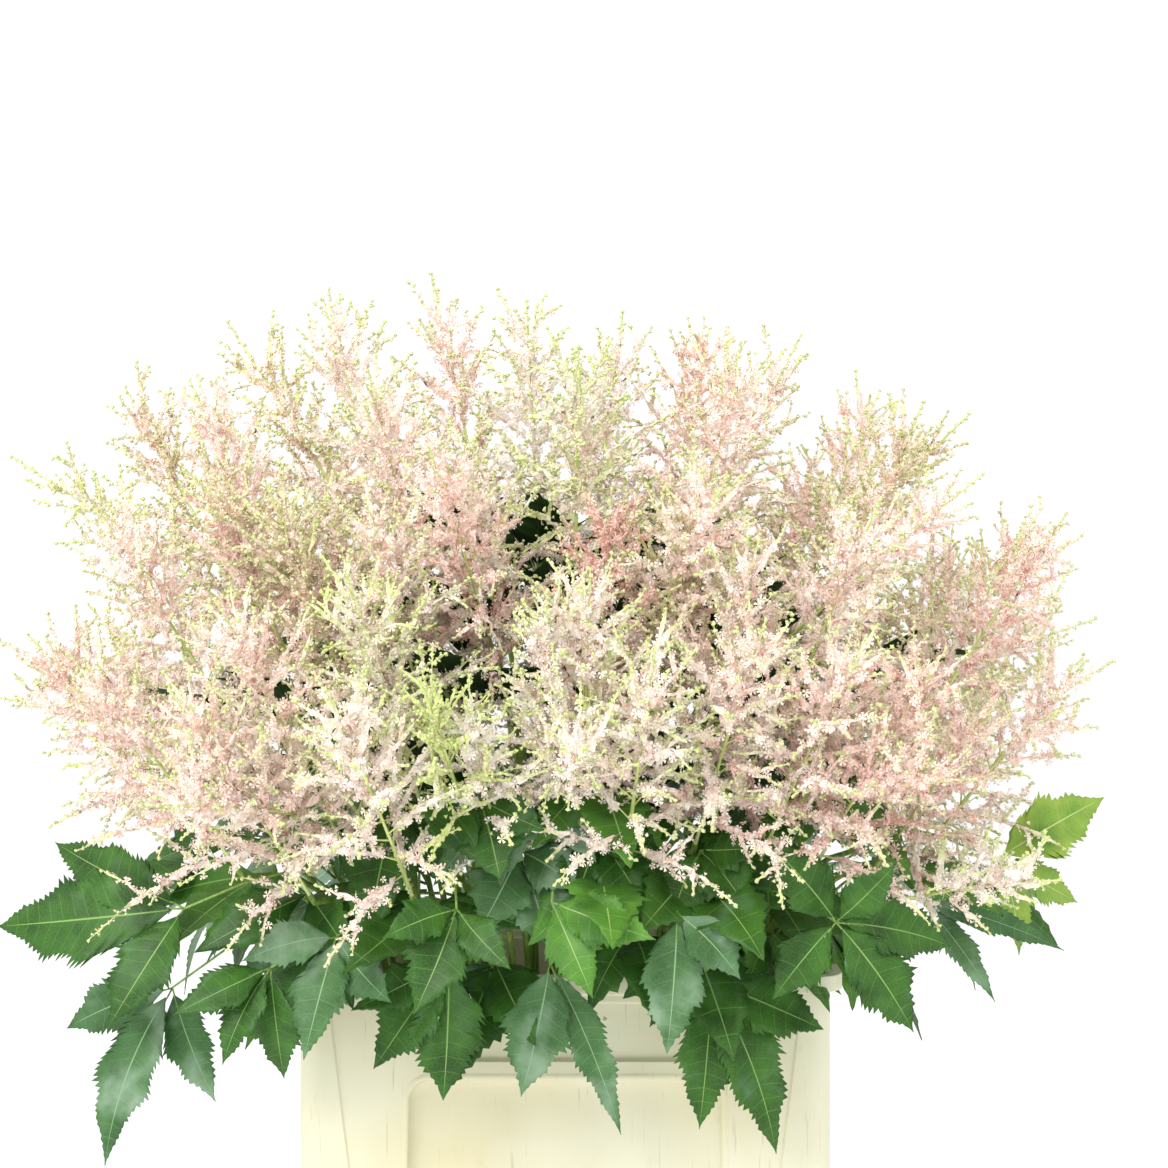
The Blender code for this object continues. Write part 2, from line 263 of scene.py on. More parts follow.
class FinishMaker:
    """One material in the making, with short calls for the nodes that the finishes share."""

    def __init__(self, name: str) -> None:
        """Start a material.

        Args:
            name: The finish's plain name.
        """
        self.material = bpy.data.materials.new(name)
        self.material.use_nodes = True
        self.tree = self.material.node_tree

    def add(self, kind: str, settings: Values | None = None, links: Values | None = None) -> bpy.types.Node:
        """Add a shader node and return it."""
        return add_node(self.tree, "ShaderNode" + kind, settings, links)

    def place(self) -> Field:
        """Return the place on the object."""
        return self.add("TexCoord").outputs["Object"]

    def map_axes(self, name: str) -> tuple[Field, Field]:
        """Read one of the piece's own maps.

        Args:
            name: The map's name.

        Returns:
            Its two axes.
        """
        place = self.add("UVMap", {"uv_map": name}).outputs["UV"]
        axes = self.add("SeparateXYZ", links={0: place}).outputs
        return axes["X"], axes["Y"]

    def noise(self, place: Field, scale: float, detail: float, settings: Values | None = None) -> Field:
        """Make soft noise.

        Args:
            place: Where it is read.
            scale: How many patches there are to the metre.
            detail: How many finer layers it has.
            settings: Its other settings.

        Returns:
            The noise, from 0 to 1.
        """
        chosen = (settings or {}) | {"Scale": scale, "Detail": detail}
        return self.add("TexNoise", chosen, {"Vector": place}).outputs["Fac"]

    def cells(self, place: Field, size: float, feature: str = "F1") -> Field:
        """Return how far a place is from the middle, or the edge, of the nearest of many small cells."""
        settings = {"feature": feature, "Scale": 1 / size}
        return self.add("TexVoronoi", settings, {"Vector": place}).outputs["Distance"]

    def stretched(self, place: Field, scale: Place, rotation: Place = (0.0, 0.0, 0.0)) -> Field:
        """Return a place that is turned and stretched, so that a noise gets a grain."""
        settings = {"Scale": scale, "Rotation": rotation}
        return self.add("Mapping", settings, {"Vector": place}).outputs["Vector"]

    def ramp(self, value: Field, stops: Sequence[tuple[float, str]]) -> Field:
        """Return a colour that runs through these stops."""
        return self.add("ValToRGB", {"stops": stops}, {"Fac": value}).outputs["Color"]

    def ranged(
        self,
        value: Field,
        low: float,
        high: float,
        first: float = 0.0,
        last: float = 1.0,
        kind: str = SMOOTH,
    ) -> Field:
        """Turn one range of values into another.

        Args:
            value: The value.
            low: Where the first range begins.
            high: Where it ends.
            first: What its beginning becomes.
            last: What its end becomes.
            kind: How it runs between them.

        Returns:
            The new value.
        """
        ends = {"From Min": low, "From Max": high, "To Min": first, "To Max": last}
        return self.add("MapRange", {"interpolation_type": kind} | ends, {"Value": value}).outputs[0]

    def sum(self, operation: str, first: Field, second: Field) -> Field:
        """Return the result of a sum on two values."""
        return self.add("Math", {"operation": operation}, {0: first, 1: second}).outputs[0]

    def mixed(self, share: Field, first: Field, second: Field | str) -> Field:
        """Mix two colours.

        Args:
            share: How much of the second there is.
            first: The first colour.
            second: The second colour, or its hex code.

        Returns:
            The mix.
        """
        settings: Values = {"data_type": "RGBA"}
        links: Values = {0: share, 6: first}
        if isinstance(second, str):
            settings[7] = linear(second)
        else:
            links[7] = second
        return self.add("Mix", settings, links).outputs[2]

    def bump(self, height: Field, strength: float, distance: float, invert: bool = False) -> Field:
        """Return a normal that follows a height."""
        settings = {"invert": invert, "Strength": strength, "Distance": distance}
        return self.add("Bump", settings, {"Height": height}).outputs["Normal"]

    def surface(self, links: dict[str, Field], constants: dict[str, Any]) -> bpy.types.Material:
        """Feed the surface shader.

        Args:
            links: The values that vary over the surface, by the shader's own names.
            constants: The values that don't.

        Returns:
            The finished material.
        """
        inputs = self.tree.nodes["Principled BSDF"].inputs
        for name, source in links.items():
            self.tree.links.new(source, inputs[name])
        for name, value in constants.items():
            inputs[name].default_value = value
        return self.material


@dataclass(frozen=True)
class PetalFinish:
    """Living petals and buds: matt, with florets packed side by side and painted shade, a darker colour, in
    the gaps between them.

    The florets' own map says how ripe (across) and how deeply tinted (up) each one is; the up axis also
    carries painted shade, added low on each spike and in the cores.
    """

    creams: tuple[str, ...] = ("#FFFDF8", "#FFF7EE", "#FFEADF", "#FAD3C8", "#D39F90")
    limes: tuple[str, ...] = ("#CFE27E", "#DCE79C", "#E0E0AA", "#D2CB98", "#AE9C74")
    first_stop: float = 0.04
    stop_step: float = 0.23
    roughness: float = 0.75
    floret: float = 2.4 * MM
    # Painted shade in the gaps between florets: where it begins and ends in each cell, and how far it pushes
    # the tint
    painted_gap_from: float = 0.36
    painted_gap_to: float = 0.74
    painted_gap_shade: float = 0.32
    opening: float = 0.34
    closed: float = 0.72

    def build(self) -> bpy.types.Material:
        """Build the material.

        Returns:
            The material.
        """
        new = FinishMaker("astilbe petals and buds")
        ripe, tint = new.map_axes("OFBake")
        cells = new.cells(new.place(), self.floret)
        # Painted shade: the tint runs darker towards the edge of each floret-sized cell, so the gaps between
        # florets are coloured as shade
        tint_with_painted_gap_shade = new.sum("ADD", tint, new.ranged(cells, self.painted_gap_from, self.painted_gap_to, last=self.painted_gap_shade))
        colours = []
        for codes in (self.creams, self.limes):
            stops = [(self.first_stop + self.stop_step * k, code) for k, code in enumerate(codes)]
            colours.append(new.ramp(tint_with_painted_gap_shade, stops))
        colour = new.mixed(new.ranged(ripe, self.opening, self.closed), *colours)
        normal = new.bump(cells, 0.8, 1.0 * MM, invert=True)
        constants = {"Roughness": self.roughness, "Specular IOR Level": 0.2, "Sheen Weight": 0.15}
        return new.surface({"Base Color": colour, "Normal": normal}, constants)


@dataclass(frozen=True)
class StalkFinish:
    """Fresh green stalk: smooth waxy skin with faint lengthwise fibres."""

    name: str
    light: str
    dark: str
    from_map: bool = False
    fibre: float = 0.6 * MM
    grain: Place = (1.0, 1.0, 0.06)

    def build(self) -> bpy.types.Material:
        """Build the material.

        Returns:
            The material.
        """
        new = FinishMaker(self.name)
        if self.from_map:
            value = new.map_axes("OFBake")[1]
        else:
            value = new.noise(new.stretched(new.place(), self.grain), 1 / (4 * self.fibre), 3.0)
        colour = new.ramp(value, [(0.3, self.dark), (0.7, self.light)])
        return new.surface({"Base Color": colour}, {"Roughness": 0.5, "Specular IOR Level": 0.35})


@dataclass(frozen=True)
class BladeFinish:
    """Leaf blade: quilted between pale veins, with a waxy bloom that greys some of it.

    The blade map runs from edge to edge across, and from tooth to tooth along. A real leaf's finest mesh of
    veins is under a millimetre; here it is 2.5 mm, so that it shows.
    """

    name: str
    deep: str
    fresh: str
    vein: str
    bloom: str
    bloom_share: float
    roughness: float = 0.42
    vein_bump: float = 0.5
    dusty_roughness: float = 0.72
    vein_mesh: float = 2.5 * MM
    patches: float = 38.0
    clouds: float = 22.0

    def build(self) -> bpy.types.Material:
        """Build the material.

        Returns:
            The material.
        """
        new = FinishMaker(self.name)
        place = new.place()
        sideways, along = new.map_axes("blade")
        across = new.add("Math", {"operation": "ABSOLUTE"}, {0: sideways}).outputs[0]
        from_vein = new.add("Math", {"operation": "PINGPONG", 1: 0.5}, {0: along}).outputs[0]
        midrib = new.ranged(across, 0.012, 0.036, 1.0, 0.0)
        side_veins = new.ranged(from_vein, 0.008, 0.030, 0.34, 0.0)
        faded = new.sum("MULTIPLY", side_veins, new.ranged(across, 0.75, 1.0, 1.0, 0.0, STRAIGHT))
        mesh = new.cells(place, self.vein_mesh, "DISTANCE_TO_EDGE")
        fine = new.ranged(mesh, 0.0, 0.12, 0.10, 0.0, STRAIGHT)
        pale = new.sum("MAXIMUM", new.sum("MAXIMUM", midrib, faded), fine)
        body = new.ramp(new.noise(place, self.patches, 3.0), [(0.32, self.deep), (0.68, self.fresh)])
        clouds = new.noise(place, self.clouds, 4.0, {"noise_dimensions": "4D", "W": 3.0})
        shift = 0.3 * self.bloom_share
        dusty = new.ranged(clouds, 0.62 - shift, 0.85 - shift, last=0.85)
        varied = {
            "Base Color": new.mixed(dusty, new.mixed(pale, body, self.vein), self.bloom),
            "Roughness": new.ranged(dusty, 0.0, 1.0, self.roughness, self.dusty_roughness, STRAIGHT),
            "Normal": new.bump(pale, self.vein_bump, 0.4 * MM, invert=True),
        }
        return new.surface(varied, {"Specular IOR Level": 0.28})


@dataclass(frozen=True)
class PolypropyleneFinish:
    """Injection-moulded cream polypropylene: satin, a little yellowed, scuffed and stained by use."""

    cream: str = "#DFDDC4"
    yellowed: str = "#D6CEA8"
    dirt: str = "#8F8460"
    rust: str = "#7A4A2C"
    pit: Vector = Vector((0.0295, -0.150, 0.358))
    run_stretch: Place = (1.0, 1.0, 0.25)
    scuff_stretch: Place = (1.0, 1.0, 0.05)
    scuff_turn: Place = (0.3, 0.9, 0.4)
    rust_stretch: Place = (1.0, 1.0, 0.28)
    grain: float = 1.5 * MM

    def build(self) -> bpy.types.Material:
        """Build the material.

        Returns:
            The material.
        """
        new = FinishMaker("cream moulded polypropylene")
        place = new.place()
        clouds = new.noise(place, 7.0, 4.0)
        body = new.ramp(clouds, [(0.38, self.cream), (0.72, self.yellowed)])
        # Runs of dirty water: noise drawn out down the wall
        runs = new.noise(new.stretched(place, self.run_stretch), 60.0, 5.0)
        blots = new.noise(place, 28.0, 8.0, {"Roughness": 0.7})
        stained = new.ranged(new.sum("MULTIPLY", runs, blots), 0.33, 0.50, last=0.22)
        # Scuffs: short thin scratches, some 0.4 mm wide, in many directions
        scuffs = new.noise(new.stretched(place, self.scuff_stretch, self.scuff_turn), 420.0, 2.0)
        grime = new.sum("MAXIMUM", stained, new.ranged(scuffs, 0.66, 0.74, last=0.3))
        dirty = new.mixed(grime, body, self.dirt)
        varied = {
            "Base Color": new.mixed(self._rusty(new, place, blots), dirty, self.rust),
            "Roughness": new.ranged(clouds, 0.0, 1.0, 0.38, 0.6, STRAIGHT),
            "Normal": new.bump(new.noise(place, 1 / self.grain, 2.0), 0.12, 0.2 * MM),
        }
        return new.surface(varied, {"IOR": 1.49})

    def _rusty(self, new: FinishMaker, place: Field, blots: Field) -> Field:
        """Mark the rusty run below the small pit in the grip.

        Args:
            new: The material in the making.
            place: The place on the bucket.
            blots: The noise that makes the run's edge ragged.

        Returns:
            How rusty the place is.
        """
        away = new.add("VectorMath", {"operation": "SUBTRACT", 1: self.pit}, {0: place}).outputs[0]
        drawn = new.add("VectorMath", {"operation": "MULTIPLY", 1: self.rust_stretch}, {0: away}).outputs[0]
        length = new.add("VectorMath", {"operation": "LENGTH"}, {0: drawn}).outputs["Value"]
        ragged = new.add("Math", {"operation": "MULTIPLY_ADD", 1: 0.012}, {0: blots, 2: length}).outputs[0]
        return new.ranged(ragged, 0.0085, 0.0115, 0.5, 0.0)


class LeafTone(Enum):
    """The colour that a compound leaf has; SHADED is a darker copy of the green, painted as shade for the
    inner leaves.
    """

    DEEP = 0
    FRESH = 1
    BLOOMED = 2
    TURNED = 3
    # Painted shade: the inner leaves' blade colour
    SHADED = 4


class PlumeTone(Enum):
    """How deeply tinted a plume's petals are, how much they vary, and how much of it is still in bud."""

    CREAM = (0.02, 0.08, 0.32)
    PALE = (0.10, 0.12, 0.28)
    BLUSH = (0.22, 0.14, 0.22)
    PINK = (0.36, 0.14, 0.18)
    ROSE = (0.54, 0.12, 0.12)
    OLIVE = (0.32, 0.20, 0.50)
    LIME = (0.04, 0.10, 0.92)
    BUTTER = (0.06, 0.12, 0.46)


DEEP, FRESH, BLOOMED, TURNED, SHADED = LeafTone
CREAM, PALE, BLUSH, PINK, ROSE, OLIVE, LIME, BUTTER = PlumeTone


class Finishes:
    """Every finish of the object, built once."""

    BLADES = {
        DEEP: ("deep green leaf blade", "#1F4510", "#3B6B20", "#83A85A", "#6B9070", 0.15),
        # The inner leaves' blade: a darker, duller copy of the deep green one, its colour painted shade
        SHADED: ("dark inner leaf blade", "#152C0E", "#264619", "#345824", "#3C5E3C", 0.0, 0.8),
        FRESH: ("fresh green leaf blade", "#33641C", "#558A2E", "#9DC070", "#7FA88A", 0.0),
        BLOOMED: ("waxy bloomed leaf blade", "#30562A", "#4C7643", "#8FB082", "#8DA88C", 0.50, 0.52),
        TURNED: ("yellowing leaf blade", "#5D8A30", "#93B045", "#C2D68A", "#A5794A", 0.12),
    }
    UNDERSIDE = ("pale leaf underside", "#7FA088", "#97B79C", "#C3D8C0", "#A3C0B2", 0.4, 0.6, -0.6)

    def __init__(self) -> None:
        """Build the materials."""
        self.petals = PetalFinish().build()
        self.branch = StalkFinish("green flower branch", "#DDE7A0", "#B9CC74", from_map=True).build()
        self.stem = StalkFinish("green astilbe stem", "#8FA950", "#5F7F33").build()
        self.petiole = StalkFinish("green leaf stalk", "#9DBB63", "#6E9440").build()
        self.bucket = PolypropyleneFinish().build()
        self.blades = {tone: BladeFinish(*values).build() for tone, values in self.BLADES.items()}
        self.underside = BladeFinish(*self.UNDERSIDE).build()


class Part(Enum):
    """What a chain of points becomes: a bare stalk or a flowering spike."""

    STALK = 0
    SPIKE = 1


class Branch(NamedTuple):
    """One chain of points: their places, the florets' reach and ripeness, the stalk's thickness, and the
    tint, which on spikes holds painted shade too.
    """

    places: list[Vector]
    reach: list[float]
    ripe: list[float]
    thick: list[float]
    tint: list[float]
    part: Part


@dataclass(frozen=True)
class FloretShapes:
    """The two small shapes that are repeated: an open floret of five narrow petals, and a closed bud."""

    petal_count: int = 5
    petal_half_turn: float = math.radians(20.0)
    cup: float = 0.35
    flat_share: float = 0.8
    bud_sides: int = 3
    bud_height: float = 1.15
    petal_corners: tuple[tuple[float, float], ...] = ((0.0, 0.0), (1.0, 0.0), (0.5, 1.0))

    def floret(self) -> bpy.types.Object:
        """Build the floret, one unit in radius: petals that widen from its middle to their blunt ends.

        Returns:
            The open floret.
        """
        points = [Vector((0.0, 0.0, 0.0))]
        faces = []
        for k in range(self.petal_count):
            height = self.cup * (1 - self.flat_share * (k % 2))
            for side in (-1, 1):
                turn = math.tau * k / self.petal_count + side * self.petal_half_turn
                points.append(Vector((math.cos(turn), math.sin(turn), height)))
            faces.append((0, 2 * k + 1, 2 * k + 2))
        obj = self._finished("open floret", points, faces)
        obj.data.shade_flat()
        return obj

    def bud(self) -> bpy.types.Object:
        """Build the bud, one unit in radius: round, with two points.

        Returns:
            The closed bud.
        """
        count = self.bud_sides
        turns = [k * math.tau / count for k in range(count)]
        points = [Vector((math.cos(turn), math.sin(turn), 0.0)) for turn in turns]
        points += [Vector((0.0, 0.0, self.bud_height)), Vector((0.0, 0.0, -self.bud_height))]
        faces = [(k, (k + 1) % count, count) for k in range(count)]
        faces += [((k + 1) % count, k, count + 1) for k in range(count)]
        return self._finished("closed bud", points, faces)

    def _finished(self, name: str, points: list[Vector], faces: list[tuple[int, ...]]) -> bpy.types.Object:
        """Turn points and faces into an object.

        Args:
            name: Its name.
            points: Its corners.
            faces: Its triangles.

        Returns:
            The object, with its faces outwards and a small map on each of them.
        """
        bm = bmesh.new()
        corners = [bm.verts.new(point) for point in points]
        for face in faces:
            bm.faces.new([corners[k] for k in face])
        bmesh.ops.recalc_face_normals(bm, faces=bm.faces)
        mesh = finished_mesh(name, bm)
        layer = mesh.uv_layers.new(name="petal")
        for polygon in mesh.polygons:
            for loop, corner in zip(polygon.loop_indices, self.petal_corners):
                layer.data[loop].uv = corner
        return new_object(name, mesh, [])


class Given(NamedTuple):
    """One named input of the node tree: its name, its socket type and its first value."""

    name: str
    kind: str
    value: Any = None


class PanicleNodes:
    """The Geometry Nodes that clothe branches: stalks as tubes, spikes with sprigs of florets and buds."""

    INPUTS = (
        Given("Branches", "NodeSocketGeometry"),
        Given("Open Floret", "NodeSocketObject"),
        Given("Closed Bud", "NodeSocketObject"),
        Given("Petal Finish", "NodeSocketMaterial"),
        Given("Stalk Finish", "NodeSocketMaterial"),
        Given("Sprig Spacing", "NodeSocketFloat", 2.8 * MM),
        Given("Floret Spacing", "NodeSocketFloat", 3.1 * MM),
        Given("Petal Length", "NodeSocketFloat", 3.0 * MM),
        Given("Bud Radius", "NodeSocketFloat", 1.6 * MM),
        Given("Core Share", "NodeSocketFloat", 0.31),
        Given("Core Spacing", "NodeSocketFloat", 3.7 * MM),
        # Painted shade: how much more deeply the cores are tinted than their florets
        Given("Core Painted Shade", "NodeSocketFloat", 0.05),
        Given("Tint Spread", "NodeSocketFloat", 0.12),
        Given("Seed", "NodeSocketInt", 1),
    )
    STALK_SIDES = 4
    CORE_SIDES = 3
    RAGGED = 0.36
    SPECK_RIPE = 0.35
    SPECK_TINT = 0.40
    SPRIG_START = 0.30
    MAP_MARGIN = 0.03
    MAP_SHARE = 0.86
    FLORET_MAP = 0.035
    STALK_MAP = 0.975

    def __init__(self) -> None:
        """Build the tree."""
        self.tree = bpy.data.node_groups.new("flowering branches", "GeometryNodeTree")
        self.tree.interface.new_socket("Panicle", in_out="OUTPUT", socket_type="NodeSocketGeometry")
        self.ids: dict[str, str] = {}
        for wanted in self.INPUTS:
            made = self.tree.interface.new_socket(wanted.name, in_out="INPUT", socket_type=wanted.kind)
            if wanted.value is not None:
                made.default_value = wanted.value
            self.ids[wanted.name] = made.identifier
        self.given = add_node(self.tree, "NodeGroupInput").outputs
        joined = self._joined((self._stalks(), self._cores(), self._florets()))
        add_node(self.tree, "NodeGroupOutput", links={0: self._realized(joined)})

    def _add(self, kind: str, settings: Values | None = None, links: Values | None = None) -> Field:
        """Add a node and return its first output."""
        return add_node(self.tree, kind, settings, links).outputs[0]

    def _joined(self, parts: Sequence[Field]) -> Field:
        """Join pieces of geometry.

        Args:
            parts: The pieces.

        Returns:
            All of them together.
        """
        node = add_node(self.tree, "GeometryNodeJoinGeometry")
        for part in parts:
            self.tree.links.new(part, node.inputs[0])
        return node.outputs[0]

    def _realized(self, geometry: Field) -> Field:
        """Return the geometry with its copies made real."""
        return self._add("GeometryNodeRealizeInstances", links={0: geometry})

    def _named(self, name: str, kind: str = "FLOAT") -> Field:
        """Return the field of a named attribute."""
        return self._add("GeometryNodeInputNamedAttribute", {"data_type": kind, "Name": name})

    def _stored(self, geometry: Field, name: str, value: Field, domain: str, kind: str = "FLOAT") -> Field:
        """Return the geometry with a value stored on it under this name."""
        settings = {"data_type": kind, "domain": domain, "Name": name}
        return self._add("GeometryNodeStoreNamedAttribute", settings, {"Geometry": geometry, "Value": value})

    def _random(self, low: float, high: float, salt: int) -> Field:
        """Draw a random number for each point.

        Args:
            low: The least that it can be.
            high: The most that it can be.
            salt: A number that sets this draw apart from the others.

        Returns:
            The number.
        """
        seed = self._math("ADD", self.given["Seed"], float(salt))
        settings = {"data_type": "FLOAT", 2: low, 3: high}
        return add_node(self.tree, "FunctionNodeRandomValue", settings, {8: seed}).outputs[1]

    def _random_turn(self, salt: int) -> Field:
        """Return a rotation that faces any way."""
        angles = {k: self._random(0.0, 2 * math.pi, salt + k) for k in range(3)}
        return self._rotation(self._add("ShaderNodeCombineXYZ", links=angles))

    def _rotation(self, angles: Field) -> Field:
        """Return three angles as a rotation."""
        return self._add("FunctionNodeEulerToRotation", links={0: angles})

    def _math(self, operation: str, *terms: Field | float) -> Field:
        """Work out a sum.

        Args:
            operation: The kind of sum.
            terms: Its sockets and plain numbers.

        Returns:
            The result.
        """
        settings = {"operation": operation} | {k: t for k, t in enumerate(terms) if isinstance(t, float)}
        links = {k: t for k, t in enumerate(terms) if not isinstance(t, float)}
        return self._add("ShaderNodeMath", settings, links)

    def _chains(self, part: Part) -> Field:
        """Pick the chains of one kind.

        Args:
            part: The kind.

        Returns:
            The chains as curves.
        """
        settings = {"data_type": "INT", "operation": "EQUAL", 3: part.value}
        wanted = self._add("FunctionNodeCompare", settings, {2: self._named("part", "INT")})
        links = {"Mesh": self.given["Branches"], "Selection": wanted}
        return self._add("GeometryNodeMeshToCurve", links=links)

    def _spaced(self, curves: Field, spacing: str) -> Field:
        """Return the curves with points as far apart as the input of this name says."""
        links = {"Curve": curves, "Length": self.given[spacing]}
        return self._add("GeometryNodeResampleCurve", {"mode": "LENGTH"}, links)

    def _tubes(self, curves: Field, sides: int, radius: Field) -> Field:
        """Make closed tubes.

        Args:
            curves: The curves that they go round.
            sides: How many sides they have.
            radius: Their radius at each point.

        Returns:
            The tubes.
        """
        ring = self._add("GeometryNodeCurvePrimitiveCircle", {"Resolution": sides, "Radius": 1.0})
        links = {"Curve": curves, "Profile Curve": ring, "Scale": radius}
        return self._add("GeometryNodeCurveToMesh", {"Fill Caps": True}, links)

    def _placed(self, links: dict[str, Field]) -> Field:
        """Return copies of an instance on points."""
        return self._add("GeometryNodeInstanceOnPoints", links=links)

    def _dressed(self, geometry: Field, across: Field, up: Field, finish: str) -> Field:
        """Store the map that the finish reads, and give the geometry its finish.

        Args:
            geometry: The geometry.
            across: The map's first axis.
            up: The map's second axis.
            finish: The input that holds the finish.

        Returns:
            The dressed geometry.
        """
        pair = self._add("ShaderNodeCombineXYZ", links={0: across, 1: up})
        stored = self._stored(geometry, "OFBake", pair, "CORNER", "FLOAT2")
        links = {"Geometry": stored, "Material": self.given[finish]}
        return self._add("GeometryNodeSetMaterial", links=links)

    def _on_map(self, value: Field) -> Field:
        """Return where a share from 0 to 1 lies in the map."""
        clamped = self._add("ShaderNodeClamp", links={"Value": value})
        return self._math("MULTIPLY_ADD", clamped, self.MAP_SHARE, self.MAP_MARGIN)

    def _jittered(self, value: Field, salt: int) -> Field:
        """Spread a face's corners a little in the map, so that the face has some width there."""
        return self._on_map(self._math("ADD", value, self._random(-0.02, 0.02, salt)))

    def _stalks(self) -> Field:
        """Build the stalks.

        Returns:
            Thin round tubes, dressed.
        """
        tubes = self._tubes(self._chains(Part.STALK), self.STALK_SIDES, self._named("thick"))
        across = self._math("ADD", self._random(-0.015, 0.015, 71), self.STALK_MAP)
        return self._dressed(tubes, across, self._random(0.05, 0.95, 72), "Stalk Finish")

    def _cores(self) -> Field:
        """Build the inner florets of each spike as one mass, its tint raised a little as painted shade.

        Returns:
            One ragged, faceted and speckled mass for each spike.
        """
        rings = self._spaced(self._chains(Part.SPIKE), "Core Spacing")
        width = self._math("MULTIPLY", self._named("reach"), self.given["Core Share"])
        mass = self._tubes(rings, self.CORE_SIDES, width)
        ragged = {k: self._random(-self.RAGGED, self.RAGGED, 61 + k) for k in range(3)}
        links = {0: self._add("ShaderNodeCombineXYZ", links=ragged), "Scale": self._named("reach")}
        offset = self._add("ShaderNodeVectorMath", {"operation": "SCALE"}, links)
        knobbly = self._add("GeometryNodeSetPosition", links={"Geometry": mass, "Offset": offset})
        speckled = self._add("GeometryNodeSetShadeSmooth", {"Shade Smooth": False}, {"Geometry": knobbly})
        for name, salt in (("speck_ripe", 32), ("speck_tint", 33)):
            speckled = self._stored(speckled, name, self._random(-0.5, 0.5, salt), "FACE")
        # Painted shade: the cores take a slightly stronger tint than the florets round them
        shaded = self._math("ADD", self._named("tint"), self.given["Core Painted Shade"])
        across = self._math("MULTIPLY_ADD", self._named("speck_ripe"), self.SPECK_RIPE, self._named("ripe"))
        up = self._math("MULTIPLY_ADD", self._named("speck_tint"), self.SPECK_TINT, shaded)
        return self._dressed(speckled, self._jittered(across, 36), self._jittered(up, 37), "Petal Finish")

    def _sprigs(self) -> Field:
        """Build short sprigs that wind up each spike, with points on them for the florets.

        Returns:
            The sprigs as curves.
        """
        ahead = {"Vector": self._named("ahead", "FLOAT_VECTOR")}
        align = self._add("FunctionNodeAlignRotationToVector", {"axis": "Z"}, ahead)
        index = self._add("GeometryNodeInputIndex")
        spin = self._math("MULTIPLY_ADD", index, GOLDEN_TURN, self._random(-0.5, 0.5, 11))
        turn = self._add("ShaderNodeCombineXYZ", links={0: self._random(0.70, 1.30, 12), 2: spin})
        turns = {0: align, 1: self._rotation(turn)}
        ends = {"Start": (0.0, 0.0, self.SPRIG_START), "End": (0.0, 0.0, 1.0)}
        links = {
            "Points": self._spaced(self._chains(Part.SPIKE), "Sprig Spacing"),
            "Instance": self._add("GeometryNodeCurvePrimitiveLine", ends),
            "Rotation": self._add("FunctionNodeRotateRotation", {"rotation_space": "LOCAL"}, turns),
            "Scale": self._math("MULTIPLY", self._named("reach"), self._random(0.70, 1.20, 13)),
        }
        return self._spaced(self._realized(self._placed(links)), "Floret Spacing")

    def _florets(self) -> Field:
        """Build the open florets and the buds on the sprigs.

        Returns:
            All of them, dressed.
        """
        riper = self._math("ADD", self._named("ripe"), self._random(-0.13, 0.13, 21))
        spread = self.given["Tint Spread"]
        # The tint read here already holds the painted shade laid on the low parts of each spike
        tint = self._math("MULTIPLY_ADD", self._random(-1.0, 1.0, 22), spread, self._named("tint"))
        seats = self._stored(self._sprigs(), "floret_ripe", riper, "POINT")
        seats = self._stored(seats, "floret_tint", tint, "POINT")
        ripe = {0: self._named("floret_ripe"), 1: self._random(0.35, 0.62, 23)}
        is_open = self._add("FunctionNodeCompare", {"data_type": "FLOAT", "operation": "LESS_THAN"}, ripe)
        is_bud = self._add("FunctionNodeBooleanMath", {"operation": "NOT"}, {0: is_open})
        kinds = (("Open Floret", "Petal Length", is_open, 41), ("Closed Bud", "Bud Radius", is_bud, 51))
        placed = []
        for shape, radius, chosen, salt in kinds:
            given = {0: self.given[shape]}
            info = add_node(self.tree, "GeometryNodeObjectInfo", {"As Instance": True}, given)
            links = {
                "Points": seats,
                "Selection": chosen,
                "Instance": info.outputs["Geometry"],
                "Rotation": self._random_turn(salt),
                "Scale": self._math("MULTIPLY", self.given[radius], self._random(0.75, 1.25, salt + 4)),
            }
            placed.append(self._placed(links))
        petal = add_node(self.tree, "ShaderNodeSeparateXYZ", links={0: self._named("petal", "FLOAT_VECTOR")})
        axes = []
        for axis, name in (("X", "floret_ripe"), ("Y", "floret_tint")):
            at = self._on_map(self._named(name))
            axes.append(self._math("MULTIPLY_ADD", petal.outputs[axis], self.FLORET_MAP, at))
        return self._dressed(self._realized(self._joined(placed)), *axes, "Petal Finish")


